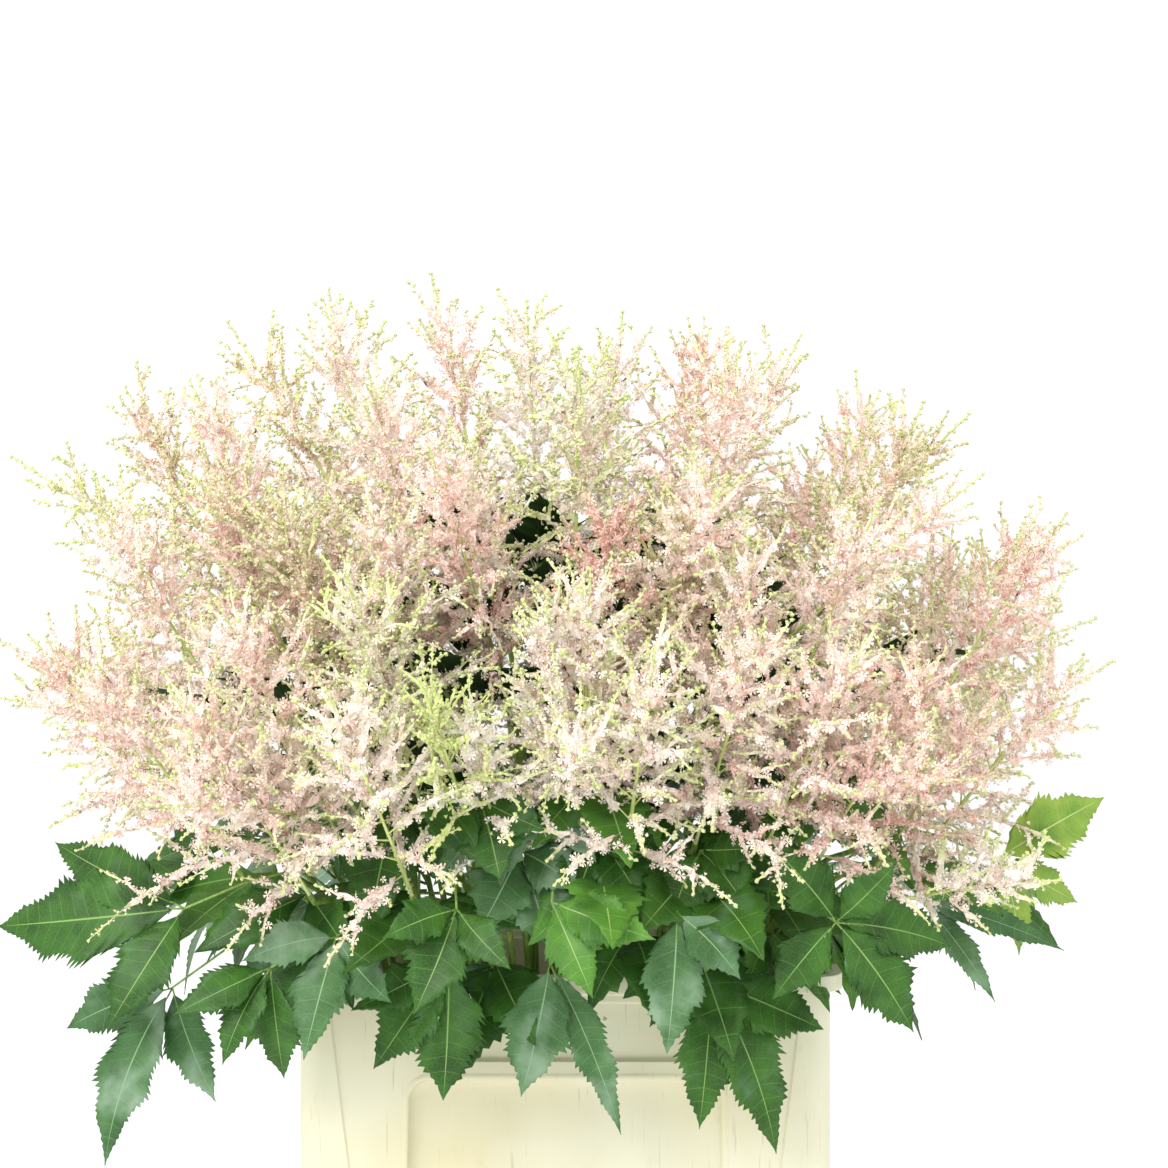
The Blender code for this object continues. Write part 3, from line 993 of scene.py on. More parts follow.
@dataclass(frozen=True)
class Plume:
    """One flower head: a main branch with side branches, from the place where its stem ends to its tip."""

    tip: Place
    tone: PlumeTone
    rise: float | None = None
    longest: float = 0.084
    branch_count: int = 26
    spike_reach: float = 7.6 * MM
    uplift: float = 0.0
    first_share: float = 0.06
    last_share: float = 0.82
    twig_reach: float = 5.0 * MM
    twig_spacing: float = 24.0 * MM
    most_twigs: int = 4
    twig_spread: float = math.radians(54.0)
    axis_points: int = 9
    side_points: int = 6
    axis_radii: tuple[float, float] = (1.7 * MM, 0.6 * MM)
    side_radii: tuple[float, float] = (0.75 * MM, 0.6 * MM)
    shortest: float = 16.0 * MM
    # Painted shade: how much more deeply tinted a spike is painted at its base, inside the plume
    painted_inner_shade: float = 0.17
    terminal_share: float = 0.60
    terminal_reach: float = 0.7
    crowding: float = 0.92
    low_bare: float = 0.14
    high_bare: float = 0.05
    twig_start: float = 0.22
    twig_span: float = 0.40
    twig_length: float = 0.42
    twig_least: float = 8.0 * MM
    twig_lift: float = 0.12
    widest_spread: float = 74.0
    spread_loss: float = 44.0
    droop: float = -0.20
    stand: float = 0.60
    ripe_tip: float = 0.80
    tip_reach: float = 1.3 * MM
    seat_x: float = 0.70
    seat_y: float = 0.64
    lowest_seat: float = 0.455

    def seat(self) -> Vector:
        """Find where the stem ends and the plume begins.

        Returns:
            The place.
        """
        tip = Vector(self.tip)
        if self.rise is None:
            return FAN_CENTRE.lerp(tip, PLUME_START)
        height = max(tip.z - self.rise, self.lowest_seat)
        return Vector((tip.x * self.seat_x, tip.y * self.seat_y, height))

    def axis(self) -> list[Vector]:
        """Bend the main branch, which arches up and then nods.

        Returns:
            The points along it.
        """
        base, tip = self.seat(), Vector(self.tip)
        middle = base.lerp(tip, 0.5) + UP * (PLUME_ARCH * (tip - base).xy.length)
        return [bezier((base, middle, tip), share) for share in evenly(self.axis_points)]

    def branches(self, rng: random.Random) -> list[Branch]:
        """Lay out the main branch, its side branches and their twigs.

        Args:
            rng: The plume's own source of random numbers.

        Returns:
            The stalks and the flowering spikes.
        """
        axis = self.axis()
        tint, _, budding = self.tone.value
        made = [self._stalk(axis, self.axis_radii, tint)]
        tail = self._part(axis, self.terminal_share, self.axis_points)
        made.append(self._spike(tail, self.spike_reach * self.terminal_reach, tint, budding, rng))
        spin = rng.uniform(0.0, math.tau)
        span = self.last_share - self.first_share
        for number in range(self.branch_count):
            share = self.first_share + span * (number / (self.branch_count - 1)) ** self.crowding
            spin += GOLDEN_TURN + rng.uniform(-0.25, 0.25)
            places = self._side_branch(axis, share, spin, rng)
            own_tint = tint + rng.uniform(-0.10, 0.10)
            own_bud = min(1.0, max(0.0, budding + rng.uniform(-0.10, 0.12)))
            bare = self.low_bare if share < 0.5 else self.high_bare
            made.append(self._stalk([places[0], along_chain(places, bare)], self.side_radii, own_tint))
            length = (places[-1] - places[0]).length
            widest = self.spike_reach * min((length / self.longest) ** 0.5, 1.1)
            clothed = self._part(places, bare, self.side_points)
            made.append(self._spike(clothed, widest, own_tint, own_bud, rng))
            made += self._twigs(places, own_tint, own_bud, rng)
        return made

    @staticmethod
    def _part(places: list[Vector], first: float, count: int) -> list[Vector]:
        """Return count points along a chain, from the share called first to its end."""
        return [along_chain(places, first + (1.0 - first) * share) for share in evenly(count)]

    @staticmethod
    def _stalk(places: list[Vector], radii: tuple[float, float], tint: float) -> Branch:
        """Make a bare stalk.

        Args:
            places: The points along it.
            radii: Its first radius and its last.
            tint: How deeply tinted it is.

        Returns:
            The stalk, which thins evenly.
        """
        first, last = radii
        idle = [0.0] * len(places)
        taper = [first + (last - first) * share for share in evenly(len(places))]
        return Branch(places, idle, idle, taper, [tint] * len(places), Part.STALK)

    def _twigs(self, places: list[Vector], tint: float, budding: float, rng: random.Random) -> list[Branch]:
        """Make the short flowering twigs of a side branch, all round it, the longest near its base.

        Args:
            places: The points along the side branch.
            tint: How deeply tinted it is.
            budding: How much of it is in bud.
            rng: The plume's own source of random numbers.

        Returns:
            The twigs.
        """
        length = (places[-1] - places[0]).length
        count = min(round((length - self.shortest) / self.twig_spacing), self.most_twigs)
        spin = rng.uniform(0.0, math.tau)
        made = []
        for number in range(count):
            share = self.twig_start + self.twig_span * number / max(count - 1, 1)
            spin += GOLDEN_TURN + rng.uniform(-0.3, 0.3)
            start = along_chain(places, share)
            ahead = (along_chain(places, share + 0.1) - along_chain(places, share - 0.1)).normalized()
            side = round_about(ahead, spin)
            spread = self.twig_spread + rng.uniform(-0.18, 0.18)
            heading = ahead * math.cos(spread) + side * math.sin(spread)
            reach = (self.twig_length * length * (1.0 - share) + self.twig_least) * rng.uniform(0.75, 1.25)
            end = start + heading * reach + UP * (self.twig_lift * reach)
            twig = [start, start.lerp(end, 0.5) + UP * (0.04 * reach), end]
            made.append(self._spike(twig, self.twig_reach, tint, min(budding + 0.12 * share, 1.0), rng))
        return made

    def _side_branch(
        self, axis: list[Vector], share: float, spin: float, rng: random.Random
    ) -> list[Vector]:
        """Bend one side branch. Low ones spread and droop, high ones stand up.

        Args:
            axis: The points along the main branch.
            share: How far up it the side branch leaves.
            spin: The angle round it.
            rng: The plume's own source of random numbers.

        Returns:
            The points along the side branch.
        """
        place = along_chain(axis, share)
        ahead = (along_chain(axis, min(share + 0.08, 1.0)) - along_chain(axis, share - 0.08)).normalized()
        side = round_about(ahead, spin)
        spread = math.radians(self.widest_spread - self.spread_loss * share) + rng.uniform(-0.12, 0.12)
        length = (self.longest * (1.0 - share) ** 0.75 + self.shortest) * rng.uniform(0.78, 1.15)
        heading = ahead * math.cos(spread) + side * math.sin(spread)
        lift = self.droop + self.stand * share + self.uplift
        middle = place + heading * (0.5 * length) + UP * (0.10 * length)
        end = place + heading * length + UP * (lift * length)
        return [bezier((place, middle, end), step) for step in evenly(self.side_points)]

    def _spike(
        self, places: list[Vector], widest: float, tint: float, budding: float, rng: random.Random
    ) -> Branch:
        """Make the flowering part of a branch, which tapers and ripens towards its tip; its tint is painted
        darker towards its base, as shade.

        Args:
            places: The points along it.
            widest: How far its florets reach where it is widest.
            tint: How deeply tinted it is.
            budding: How much of it is in bud.
            rng: The plume's own source of random numbers.

        Returns:
            The spike.
        """
        top = max(budding, self.ripe_tip)
        widest *= rng.uniform(0.88, 1.12)
        shares = evenly(len(places))
        swell = [widest * min(1.0, 0.6 + 2.0 * share) for share in shares]
        reach = [width * (1.0 - share) ** 0.85 + self.tip_reach for width, share in zip(swell, shares)]
        ripe = [budding + (top - budding) * share**2.0 for share in shares]
        # Painted shade: the tint is raised towards the spike's base
        tints_with_painted_shade = [min(tint + self.painted_inner_shade * (1.0 - share) ** 1.5, 1.0) for share in shares]
        return Branch(places, reach, ripe, [0.0] * len(places), tints_with_painted_shade, Part.SPIKE)


class PlumeMaker:
    """Turns plumes into pieces with one shared node tree."""

    FRONT_SPACING = (4.55 * MM, 4.5 * MM)
    BACK_SPACING = (7.0 * MM, 6.0 * MM)
    BACK_FROM = 0.05
    NUMBERS = ("reach", "ripe", "thick", "tint")
    HELPERS = (*NUMBERS, "ahead", "part", "floret_ripe", "floret_tint", "petal", "speck_ripe", "speck_tint")

    def __init__(self, finishes: Finishes) -> None:
        """Build the tree and the repeated shapes.

        Args:
            finishes: The object's finishes.
        """
        self.nodes = PanicleNodes()
        shapes = FloretShapes()
        self.given = {
            "Open Floret": shapes.floret(),
            "Closed Bud": shapes.bud(),
            "Petal Finish": finishes.petals,
            "Stalk Finish": finishes.branch,
        }

    def skeleton(self, name: str, branches: list[Branch]) -> bpy.types.Object:
        """Make the chains of points that the tree clothes.

        Args:
            name: The piece's name.
            branches: The stalks and spikes.

        Returns:
            An object that holds only edges, with an attribute for each of a branch's numbers.
        """
        points: list[Vector] = []
        edges: list[tuple[int, int]] = []
        ahead: list[float] = []
        for branch in branches:
            first, last = len(points), len(branch.places) - 1
            points += branch.places
            edges += [(k, k + 1) for k in range(first, first + last)]
            for k in range(last + 1):
                ahead.extend((branch.places[min(k + 1, last)] - branch.places[max(k - 1, 0)]).normalized())
        mesh = bpy.data.meshes.new(name)
        mesh.from_pydata(points, edges, [])
        for key in self.NUMBERS:
            values = [value for branch in branches for value in getattr(branch, key)]
            mesh.attributes.new(key, "FLOAT", "POINT").data.foreach_set("value", values)
        parts = [branch.part.value for branch in branches for _ in branch.places]
        mesh.attributes.new("ahead", "FLOAT_VECTOR", "POINT").data.foreach_set("vector", ahead)
        mesh.attributes.new("part", "INT", "POINT").data.foreach_set("value", parts)
        return new_object(name, mesh, [])

    def make(self, plume: Plume, number: int) -> None:
        """Build one plume as a piece that rides on the frame.

        Args:
            plume: The plume.
            number: Its number, which is also its fixed seed.
        """
        name = f"plume_{number:02d}"
        obj = self.skeleton("flowering_" + name, plume.branches(random.Random(number)))
        modifier = obj.modifiers.new("florets", "NODES")
        modifier.node_group = self.nodes.tree
        sprigs, cores = self.FRONT_SPACING if plume.tip[1] <= self.BACK_FROM else self.BACK_SPACING
        own = {"Sprig Spacing": sprigs, "Core Spacing": cores, "Seed": number}
        own["Tint Spread"] = plume.tone.value[1]
        for key, value in (self.given | own).items():
            modifier[self.nodes.ids[key]] = value
        applied(obj)
        for helper in self.HELPERS:
            attribute = obj.data.attributes.get(helper)
            if attribute:
                obj.data.attributes.remove(attribute)
        fasten(obj, name)

    def close(self) -> None:
        """Remove the shapes that were only there to be repeated."""
        for shape in ("Open Floret", "Closed Bud"):
            bpy.data.objects.remove(self.given[shape])


def stem_places(plume: Plume) -> list[Vector]:
    """Find the way of the stem that carries a plume.

    Args:
        plume: The plume.

    Returns:
        The points from the bucket's floor to the plume's seat.
    """
    axis = plume.axis()
    heading = (axis[1] - axis[0]).normalized()
    top = axis[0] - heading * GAP
    foot = Vector((top.x * FOOT_SPREAD, top.y * FOOT_SPREAD, FLOOR_TOP))
    below = top - heading * STEM_LAST_STEP
    before = below - heading * STEM_APPROACH
    if plume.rise is not None:
        height = below.z - TALL_DROP * (below.z > TALL_FROM) + LEAN_RISE
        before = Vector((below.x * LEAN_IN, below.y * LEAN_IN, height))
    controls = (foot, foot + UP * STEM_RISE, before, below)
    return [bezier(controls, share) for share in evenly(STEM_POINTS)] + [top]


def add_tube(bm: EditMesh, places: Sequence[Vector], radii: Sequence[float], sides: int, slot: int) -> None:
    """Add a closed round tube to an edit mesh.

    Args:
        bm: The edit mesh.
        places: The points along the tube's middle.
        radii: Its radius at each point.
        sides: How many sides it has.
        slot: Its material slot.
    """
    rings = []
    across = (places[1] - places[0]).orthogonal().normalized()
    turns = [math.tau * k / sides for k in range(sides)]
    for index, (place, radius) in enumerate(zip(places, radii)):
        ahead = places[min(index + 1, len(places) - 1)] - places[max(index - 1, 0)]
        side = ahead.cross(across).normalized()
        across = side.cross(ahead).normalized()
        ring = [place + (across * math.cos(turn) + side * math.sin(turn)) * radius for turn in turns]
        rings.append([bm.verts.new(point) for point in ring])
    faces = [bm.faces.new(rings[0][::-1]), bm.faces.new(rings[-1])]
    for low, high in zip(rings, rings[1:]):
        faces += bridge(bm, low, high)
    for face in faces:
        face.material_index = slot
        face.smooth = True


def bridge(bm: EditMesh, low: Sequence[Corner], high: Sequence[Corner]) -> list[bmesh.types.BMFace]:
    """Join two closed loops of as many points.

    Args:
        bm: The edit mesh.
        low: The first loop.
        high: The second loop.

    Returns:
        The faces between them.
    """
    pairs = zip(low, high)
    ahead = zip((*low[1:], low[0]), (*high[1:], high[0]))
    return [bm.faces.new((a, c, d, b)) for (a, b), (c, d) in zip(pairs, ahead)]


class Leaflet(NamedTuple):
    """One leaflet: the place of its tip and how wide it is."""

    x: float
    y: float
    z: float
    width: float

    def tip(self) -> Vector:
        """Return the place of its tip."""
        return Vector((self.x, self.y, self.z))


@dataclass(frozen=True)
class CompoundLeaf:
    """One compound leaf: a stalk, and leaflets with coarse double teeth that meet at its end."""

    joint: Place
    leaflets: tuple[Leaflet, ...]
    tone: LeafTone
    turns_front: float = 0.9
    tooth_pitch: float = 5.5 * MM
    columns: tuple[float, ...] = (0.0, 0.34, 0.68, 1.0)
    turns_out: float = 0.8
    turns_up: float = 0.6
    thickness: float = 0.5 * MM
    arch: float = 0.07
    keel: float = 0.16
    lean: float = 0.62
    bare_share: float = 0.06
    widest_share: float = 0.318
    tooth_lean: float = 3.5 * MM
    bites: tuple[float, ...] = (0.02, 0.08, 0.16)
    notch: float = -0.05
    lobe_depth: float = 0.10
    puff: float = 0.5 * MM
    petiole_rise: float = 0.20
    petiole_radii: tuple[float, float] = (1.3 * MM, 0.4 * MM)
    petiole_points: int = 6
    petiole_sides: int = 5
    midrib_shares: tuple[float, ...] = (0.0, 0.08, 0.20, 0.38)
    midrib_radii: tuple[float, ...] = (0.9 * MM, 0.75 * MM, 0.55 * MM, 0.25 * MM)
    midrib_sides: int = 4
    midrib_sunk: float = 0.3 * MM
    stalk_corners: tuple[tuple[float, float], ...] = ((0, 0), (1, 0), (1, 1), (0, 1), (0.5, 1), (0.5, 0))

    def face_up(self) -> Vector:
        """Find the way that the upper faces look: out from the bucket and up.

        Returns:
            The direction, one unit long.
        """
        out = Vector((self.joint[0] / BUCKET_WIDTH, self.joint[1] / BUCKET_DEPTH, 0.0)).normalized()
        front = Vector((0.0, self.turns_front, 0.0))
        return (out * self.turns_out + UP * self.turns_up - front).normalized()

    def make(self, start: Vector, finishes: Finishes, number: int) -> None:
        """Build the leaf as a piece that rides on the frame.

        Args:
            start: Where its stalk leaves the stem.
            finishes: The object's finishes.
            number: Its number, which is also its fixed seed.
        """
        name = f"leaf_{number:02d}"
        rng = random.Random(number)
        bm = bmesh.new()
        maps = (bm.loops.layers.uv.new("blade"), bm.loops.layers.uv.new("OFBake"))
        for index, leaflet in enumerate(self.leaflets):
            self._skin(bm, maps, self._blade(leaflet, rng), index)
        blade = finishes.blades[self.tone]
        # Painted shade: a SHADED leaf shows the same dark blade on its underside too
        under = blade if self.tone is SHADED else finishes.underside
        obj = new_object("toothed_" + name, finished_mesh(name, bm), [blade, under, finishes.petiole])
        sheet = obj.modifiers.new("thickness", "SOLIDIFY")
        sheet.thickness = self.thickness
        sheet.offset = -1.0
        sheet.use_even_offset = False
        sheet.material_offset = 1
        applied(obj)
        self._part_maps(obj.data)
        self._add_stalks(obj.data, start)
        fasten(obj, name)

    def _blade(self, leaflet: Leaflet, rng: random.Random) -> list[list[tuple[Vector, float, float]]]:
        """Lay out one leaflet's upper sheet. Its rows follow the side veins; every other one has a tooth.

        Args:
            leaflet: The leaflet.
            rng: The leaf's own source of random numbers.

        Returns:
            Rows of points, each with how far across and how far along the blade it lies.
        """
        joint, tip = Vector(self.joint), leaflet.tip()
        reach = tip - joint
        side = reach.cross(self.face_up()).normalized()
        lift = side.cross(reach).normalized()
        length = reach.length
        rows = 2 * max(6, round(length / self.tooth_pitch))
        bend = rng.uniform(-0.035, 0.035) * length
        wave = rng.uniform(0.05, 0.13)
        phase = rng.uniform(0.0, math.tau)
        twist = rng.uniform(-0.30, 0.30)
        lobes = rng.uniform(0.0, math.tau)
        grid = []
        for row in range(rows + 1):
            along = row / rows
            jitter = rng.uniform(-0.25, 0.25) if 0 < row < rows else 0.0
            base_share = self.bare_share + (1.0 - self.bare_share) * (row + jitter) / rows
            outline = along**0.6 * (1.0 - along) ** 1.2 / self.widest_share
            is_tooth = row % 2 == 1
            line = []
            for direction in (-1, 1):
                bite = rng.choice(self.bites) + rng.uniform(0.0, 0.05) if is_tooth else self.notch
                bite += self.lobe_depth * math.sin(lobes + 19.0 * row / rows + direction)
                for column in self.columns if direction == 1 else self.columns[:0:-1]:
                    half = 0.5 * leaflet.width * outline * (1.0 + bite * column**3)
                    ahead = self.lean * half * column
                    if is_tooth:
                        ahead += self.tooth_lean * column**3
                    ahead *= 1.0 - along
                    share = min(base_share + ahead / length, 1.0)
                    bow = 4 * share * (1 - share)
                    out = direction * column * half
                    puff = 0.0 if is_tooth else self.puff * math.sin(math.pi * column)
                    height = self.arch * length * bow + self.keel * abs(out) + puff
                    height += wave * half * column * math.sin(phase + 9.0 * share + direction)
                    height += twist * out * share
                    place = joint.lerp(tip, share) + side * (out + bend * bow)
                    line.append((place + lift * height, direction * column, along))
            grid.append(line)
        return grid

    def _skin(
        self, bm: EditMesh, maps: tuple[Any, Any], grid: list[list[tuple[Vector, float, float]]], index: int
    ) -> None:
        """Join a leaflet's rows of points with faces, and lay out its two maps.

        Args:
            bm: The edit mesh.
            maps: The blade map and the bake map.
            grid: The rows of points.
            index: Which of the leaflets it is.
        """
        made = [[bm.verts.new(place) for place, _, _ in line] for line in grid]
        cell = 0.5 / len(self.leaflets)
        veins = max(5, round(len(grid) / 4))
        for row in range(len(grid) - 1):
            for column in range(len(grid[0]) - 1):
                corners = ((row, column), (row, column + 1), (row + 1, column + 1), (row + 1, column))
                face = bm.faces.new([made[r][c] for r, c in corners])
                for loop, (r, c) in zip(face.loops, corners):
                    _, across, along = grid[r][c]
                    loop[maps[0]].uv = (across, along * veins)
                    loop[maps[1]].uv = (cell * (index + 0.5 + 0.45 * across), 0.02 + 0.94 * along)

    @staticmethod
    def _part_maps(mesh: bpy.types.Mesh) -> None:
        """Move the underside's bake map to its own half, so that the two faces keep their own colours.

        Args:
            mesh: The leaf's mesh.
        """
        layer = mesh.uv_layers["OFBake"]
        for polygon in mesh.polygons:
            if polygon.material_index == 1:
                for loop in polygon.loop_indices:
                    layer.data[loop].uv[0] += 0.5

    def _add_stalks(self, mesh: bpy.types.Mesh, start: Vector) -> None:
        """Add the leaf's stalk, and the short stalk that runs into each leaflet's midrib.

        Args:
            mesh: The leaf's mesh.
            start: Where its stalk leaves the stem.
        """
        bm = bmesh.new()
        bm.from_mesh(mesh)
        joint = Vector(self.joint)
        control = start.lerp(joint, 0.5) + UP * (self.petiole_rise * (joint - start).length)
        shares = evenly(self.petiole_points)
        first, loss = self.petiole_radii
        places = [bezier((start, control, joint), share) for share in shares]
        add_tube(bm, places, [first - loss * share for share in shares], self.petiole_sides, 2)
        for leaflet in self.leaflets:
            tip = leaflet.tip()
            reach = tip - joint
            lift = reach.cross(self.face_up()).normalized().cross(reach).normalized()
            ends = []
            for share in self.midrib_shares:
                height = self.arch * reach.length * 4 * share * (1 - share)
                ends.append(joint.lerp(tip, share) + lift * (height - self.midrib_sunk))
            add_tube(bm, ends, self.midrib_radii, self.midrib_sides, 2)
        bake_map = bm.loops.layers.uv["OFBake"]
        for face in bm.faces:
            if face.material_index == 2:
                for loop, corner in zip(face.loops, self.stalk_corners):
                    loop[bake_map].uv = (0.005 + 0.01 * corner[0], 0.975 + 0.02 * corner[1])
        bm.to_mesh(mesh)
        bm.free()


class Outline(NamedTuple):
    """A panel's outline on a wall: half its width and its height, at its foot and at its top."""

    foot_half: float
    foot: float
    top_half: float
    top: float
    corner: float


class Step(NamedTuple):
    """One line of a panel's edge: how far in from the outline, and how far out from the wall."""

    inset: float
    out: float


class Wall(NamedTuple):
    """One wall of a skin: the axis it runs along, its side, how far out it stands, and its skin's inset."""

    across: int
    sign: int
    plane: float
    inward: float


@dataclass(frozen=True)
class Bucket:
    """The moulded bucket: an outer and an inner skin, joined by a turned-down lip."""

    width: float = BUCKET_WIDTH
    depth: float = BUCKET_DEPTH
    height: float = 0.400
    wall: float = 0.003
    inner_drop: float = 0.0015
    corner: float = 0.016
    foot: float = 0.006
    lip_reach: float = 0.009
    lip_drop: float = 0.012
    corner_steps: int = 6
    quarters: tuple[tuple[int, int], ...] = ((1, 1), (-1, 1), (-1, -1), (1, -1))
    walls: tuple[tuple[int, int], ...] = ((0, 1), (1, -1), (0, -1), (1, 1))
    field: Outline = Outline(0.130, 0.014, 0.176, 0.386, 0.004)
    grip: Outline = Outline(0.093, 0.335, 0.093, 0.380, 0.007)
    panel: Outline = Outline(0.119, 0.050, 0.115, 0.322, 0.015)
    rib: Outline = Outline(0.050, 0.060, 0.040, 0.382, 0.005)
    field_edge: tuple[Step, ...] = (
        Step(0, 0), Step(0.0005, -0.0003), Step(0.0015, -0.0017), Step(0.002, -0.002)
    )
    grip_edge: tuple[Step, ...] = (
        Step(0, 0), Step(0.0007, -0.0004), Step(0.0012, -0.0025), Step(0.0020, -0.0044), Step(0.0035, -0.005)
    )
    panel_edge: tuple[Step, ...] = (
        Step(-0.0050, 0.0), Step(-0.0042, 0.0006), Step(-0.0025, 0.0010), Step(-0.0008, 0.0008),
        Step(0.0, -0.0002), Step(0.0006, -0.0035), Step(0.0016, -0.0068), Step(0.0045, -0.0086),
        Step(0.0110, -0.0096), Step(0.0220, -0.0100),
    )
    rib_edge: tuple[Step, ...] = (
        Step(0, 0), Step(0.0006, 0.0008), Step(0.0014, 0.0068), Step(0.0028, 0.0080)
    )
    panel_corner_steps: int = 6
    least_corner: float = 0.0008
    pit_place: tuple[float, float] = (0.0295, 0.3665)
    pit_radius: float = 1.6 * MM
    pit_depth: float = 2.0 * MM
    pit_rings: tuple[tuple[float, float], ...] = ((1.0, 0.0), (0.85, 0.5), (0.75, 1.0))
    pit_sides: int = 10
    sharp_angle: float = math.radians(50.0)
    flat_weight: int = 90

    def make(self, finishes: Finishes) -> None:
        """Build the bucket as a piece that rides on the frame.

        Args:
            finishes: The object's finishes.
        """
        bm = bmesh.new()
        self._rim(bm, self._skin(bm, 0.0), self._skin(bm, self.wall))
        bmesh.ops.remove_doubles(bm, verts=bm.verts, dist=1e-6)
        bmesh.ops.recalc_face_normals(bm, faces=bm.faces)
        mesh = finished_mesh("bucket_shell", bm)
        mesh.set_sharp_from_angle(angle=self.sharp_angle)
        obj = new_object("bucket_shell", mesh, [finishes.bucket])
        weights = obj.modifiers.new("flat faces stay flat", "WEIGHTED_NORMAL")
        weights.keep_sharp = True
        weights.weight = self.flat_weight
        applied(obj)
        fasten(obj, "bucket")

    def _quarter_turns(self, steps: int) -> list[tuple[int, int, float]]:
        """Go round the four corners.

        Args:
            steps: How many points each corner has.

        Returns:
            The side of each point along both axes, and its angle.
        """
        made = []
        for number, signs in enumerate(self.quarters):
            made += [(*signs, (number + step) * math.pi / 2) for step in evenly(steps)]
        return made

    def _loop(self, bm: EditMesh, out: float, height: float) -> list[Corner]:
        """Add a rounded rectangle of points.

        Args:
            bm: The edit mesh.
            out: How far out from the outer wall it lies.
            height: Its height.

        Returns:
            The points.
        """
        radius = self.corner + out
        centre_x, centre_y = self.width / 2 - self.corner, self.depth / 2 - self.corner
        points = []
        for sign_x, sign_y, turn in self._quarter_turns(self.corner_steps + 1):
            x = sign_x * centre_x + radius * math.cos(turn)
            points.append(bm.verts.new((x, sign_y * centre_y + radius * math.sin(turn), height)))
        return points

    def _skin(self, bm: EditMesh, inward: float) -> list[Corner]:
        """Build the outer skin, or the inner one a wall's thickness inside it.

        Args:
            bm: The edit mesh.
            inward: How far inside the outer wall it lies.

        Returns:
            Its top loop.
        """
        foot_radius = self.foot - inward
        loops = []
        for share in evenly(4):
            turn = share * math.pi / 2
            out = -inward - foot_radius * (1 - math.sin(turn))
            loops.append(self._loop(bm, out, inward + foot_radius * (1 - math.cos(turn))))
        for below, above in zip(loops, loops[1:]):
            bridge(bm, below, above)
        bm.faces.new(loops[0])
        top = self._loop(bm, -inward, self.height - (self.inner_drop if inward else self.wall))
        base = loops[-1]
        span = self.corner_steps + 1
        for number, (across, sign) in enumerate(self.walls):
            first = number * span
            for k in range(first, first + self.corner_steps):
                bm.faces.new((base[k], base[k + 1], top[k + 1], top[k]))
            last, after = first + span - 1, (first + span) % (4 * span)
            plane = (self.depth if across == 0 else self.width) / 2 - inward
            edges = self._edges(bm, [base[last], base[after], top[after], top[last]])
            self._wall(bm, edges, Wall(across, sign, plane, inward))
        return top

    def _wall(self, bm: EditMesh, frame_edges: list[bmesh.types.BMEdge], wall: Wall) -> None:
        """Fill one wall, with its panels.

        Args:
            bm: The edit mesh.
            frame_edges: The edges round it.
            wall: The wall.
        """
        if wall.across == 1:
            first, last = self._panel(bm, self.rib, self.rib_edge, wall)
            self._fill(bm, frame_edges + self._edges(bm, first))
            bm.faces.new(last)
            return
        field_first, field_last = self._panel(bm, self.field, self.field_edge, wall)
        self._fill(bm, frame_edges + self._edges(bm, field_first))
        sunk = wall._replace(plane=wall.plane + self.field_edge[-1].out)
        grip_first, grip_last = self._panel(bm, self.grip, self.grip_edge, sunk)
        panel_first, panel_last = self._panel(bm, self.panel, self.panel_edge, sunk)
        between = self._edges(bm, field_last) + self._edges(bm, grip_first) + self._edges(bm, panel_first)
        self._fill(bm, between)
        bm.faces.new(panel_last)
        if wall.inward == 0.0 and wall.sign < 0:
            pit = self._pit(bm, sunk.plane + self.grip_edge[-1].out)
            self._fill(bm, self._edges(bm, grip_last) + self._edges(bm, pit))
        else:
            bm.faces.new(grip_last)

    def _pit(self, bm: EditMesh, plane: float) -> list[Corner]:
        """Sink the small round pit in the front grip.

        Args:
            bm: The edit mesh.
            plane: How far out the grip stands.

        Returns:
            The pit's rim.
        """
        rings = []
        for radius, sunk in self.pit_rings:
            ring = []
            for k in range(self.pit_sides):
                turn = math.tau * k / self.pit_sides
                x = self.pit_place[0] + self.pit_radius * radius * math.cos(turn)
                z = self.pit_place[1] + self.pit_radius * radius * math.sin(turn)
                ring.append(bm.verts.new((x, -(plane - self.pit_depth * sunk), z)))
            rings.append(ring)
        for outside, inside in zip(rings, rings[1:]):
            bridge(bm, outside, inside)
        bm.faces.new(rings[-1])
        return rings[0]

    def _panel(
        self, bm: EditMesh, outline: Outline, edge: Sequence[Step], wall: Wall
    ) -> tuple[list[Corner], list[Corner]]:
        """Step a panel in or out of a wall.

        Args:
            bm: The edit mesh.
            outline: The panel's outline.
            edge: The steps of its edge.
            wall: The wall.

        Returns:
            Its outermost and its innermost loop.
        """
        steps = list(edge)
        if wall.inward:
            deepest = steps[-1]
            grow = wall.inward if deepest.out < 0 else -wall.inward
            steps = [Step(-grow, 0.0), Step(0.0015 - grow, deepest.out)]
        loops = []
        for step in steps:
            ring = []
            for along, height in self._rounded(outline, step.inset):
                place = [0.0, 0.0, height]
                place[wall.across] = along
                place[1 - wall.across] = wall.sign * (wall.plane + step.out)
                ring.append(bm.verts.new(place))
            loops.append(ring)
        for outside, inside in zip(loops, loops[1:]):
            bridge(bm, outside, inside)
        return loops[0], loops[-1]

    def _rounded(self, outline: Outline, inset: float) -> list[tuple[float, float]]:
        """Round an outline's corners.

        Args:
            outline: The outline.
            inset: How far in from it the points lie.

        Returns:
            The points.
        """
        radius = max(outline.corner - inset, self.least_corner)
        foot, top = outline.foot + inset, outline.top - inset
        slope = (outline.top_half - outline.foot_half) / (outline.top - outline.foot)
        points = []
        for sign_x, sign_z, turn in self._quarter_turns(self.panel_corner_steps):
            height = (top - radius if sign_z > 0 else foot + radius) + radius * math.sin(turn)
            half = outline.foot_half + slope * (height - outline.foot) - inset
            points.append((sign_x * (half - radius) + radius * math.cos(turn), height))
        return points

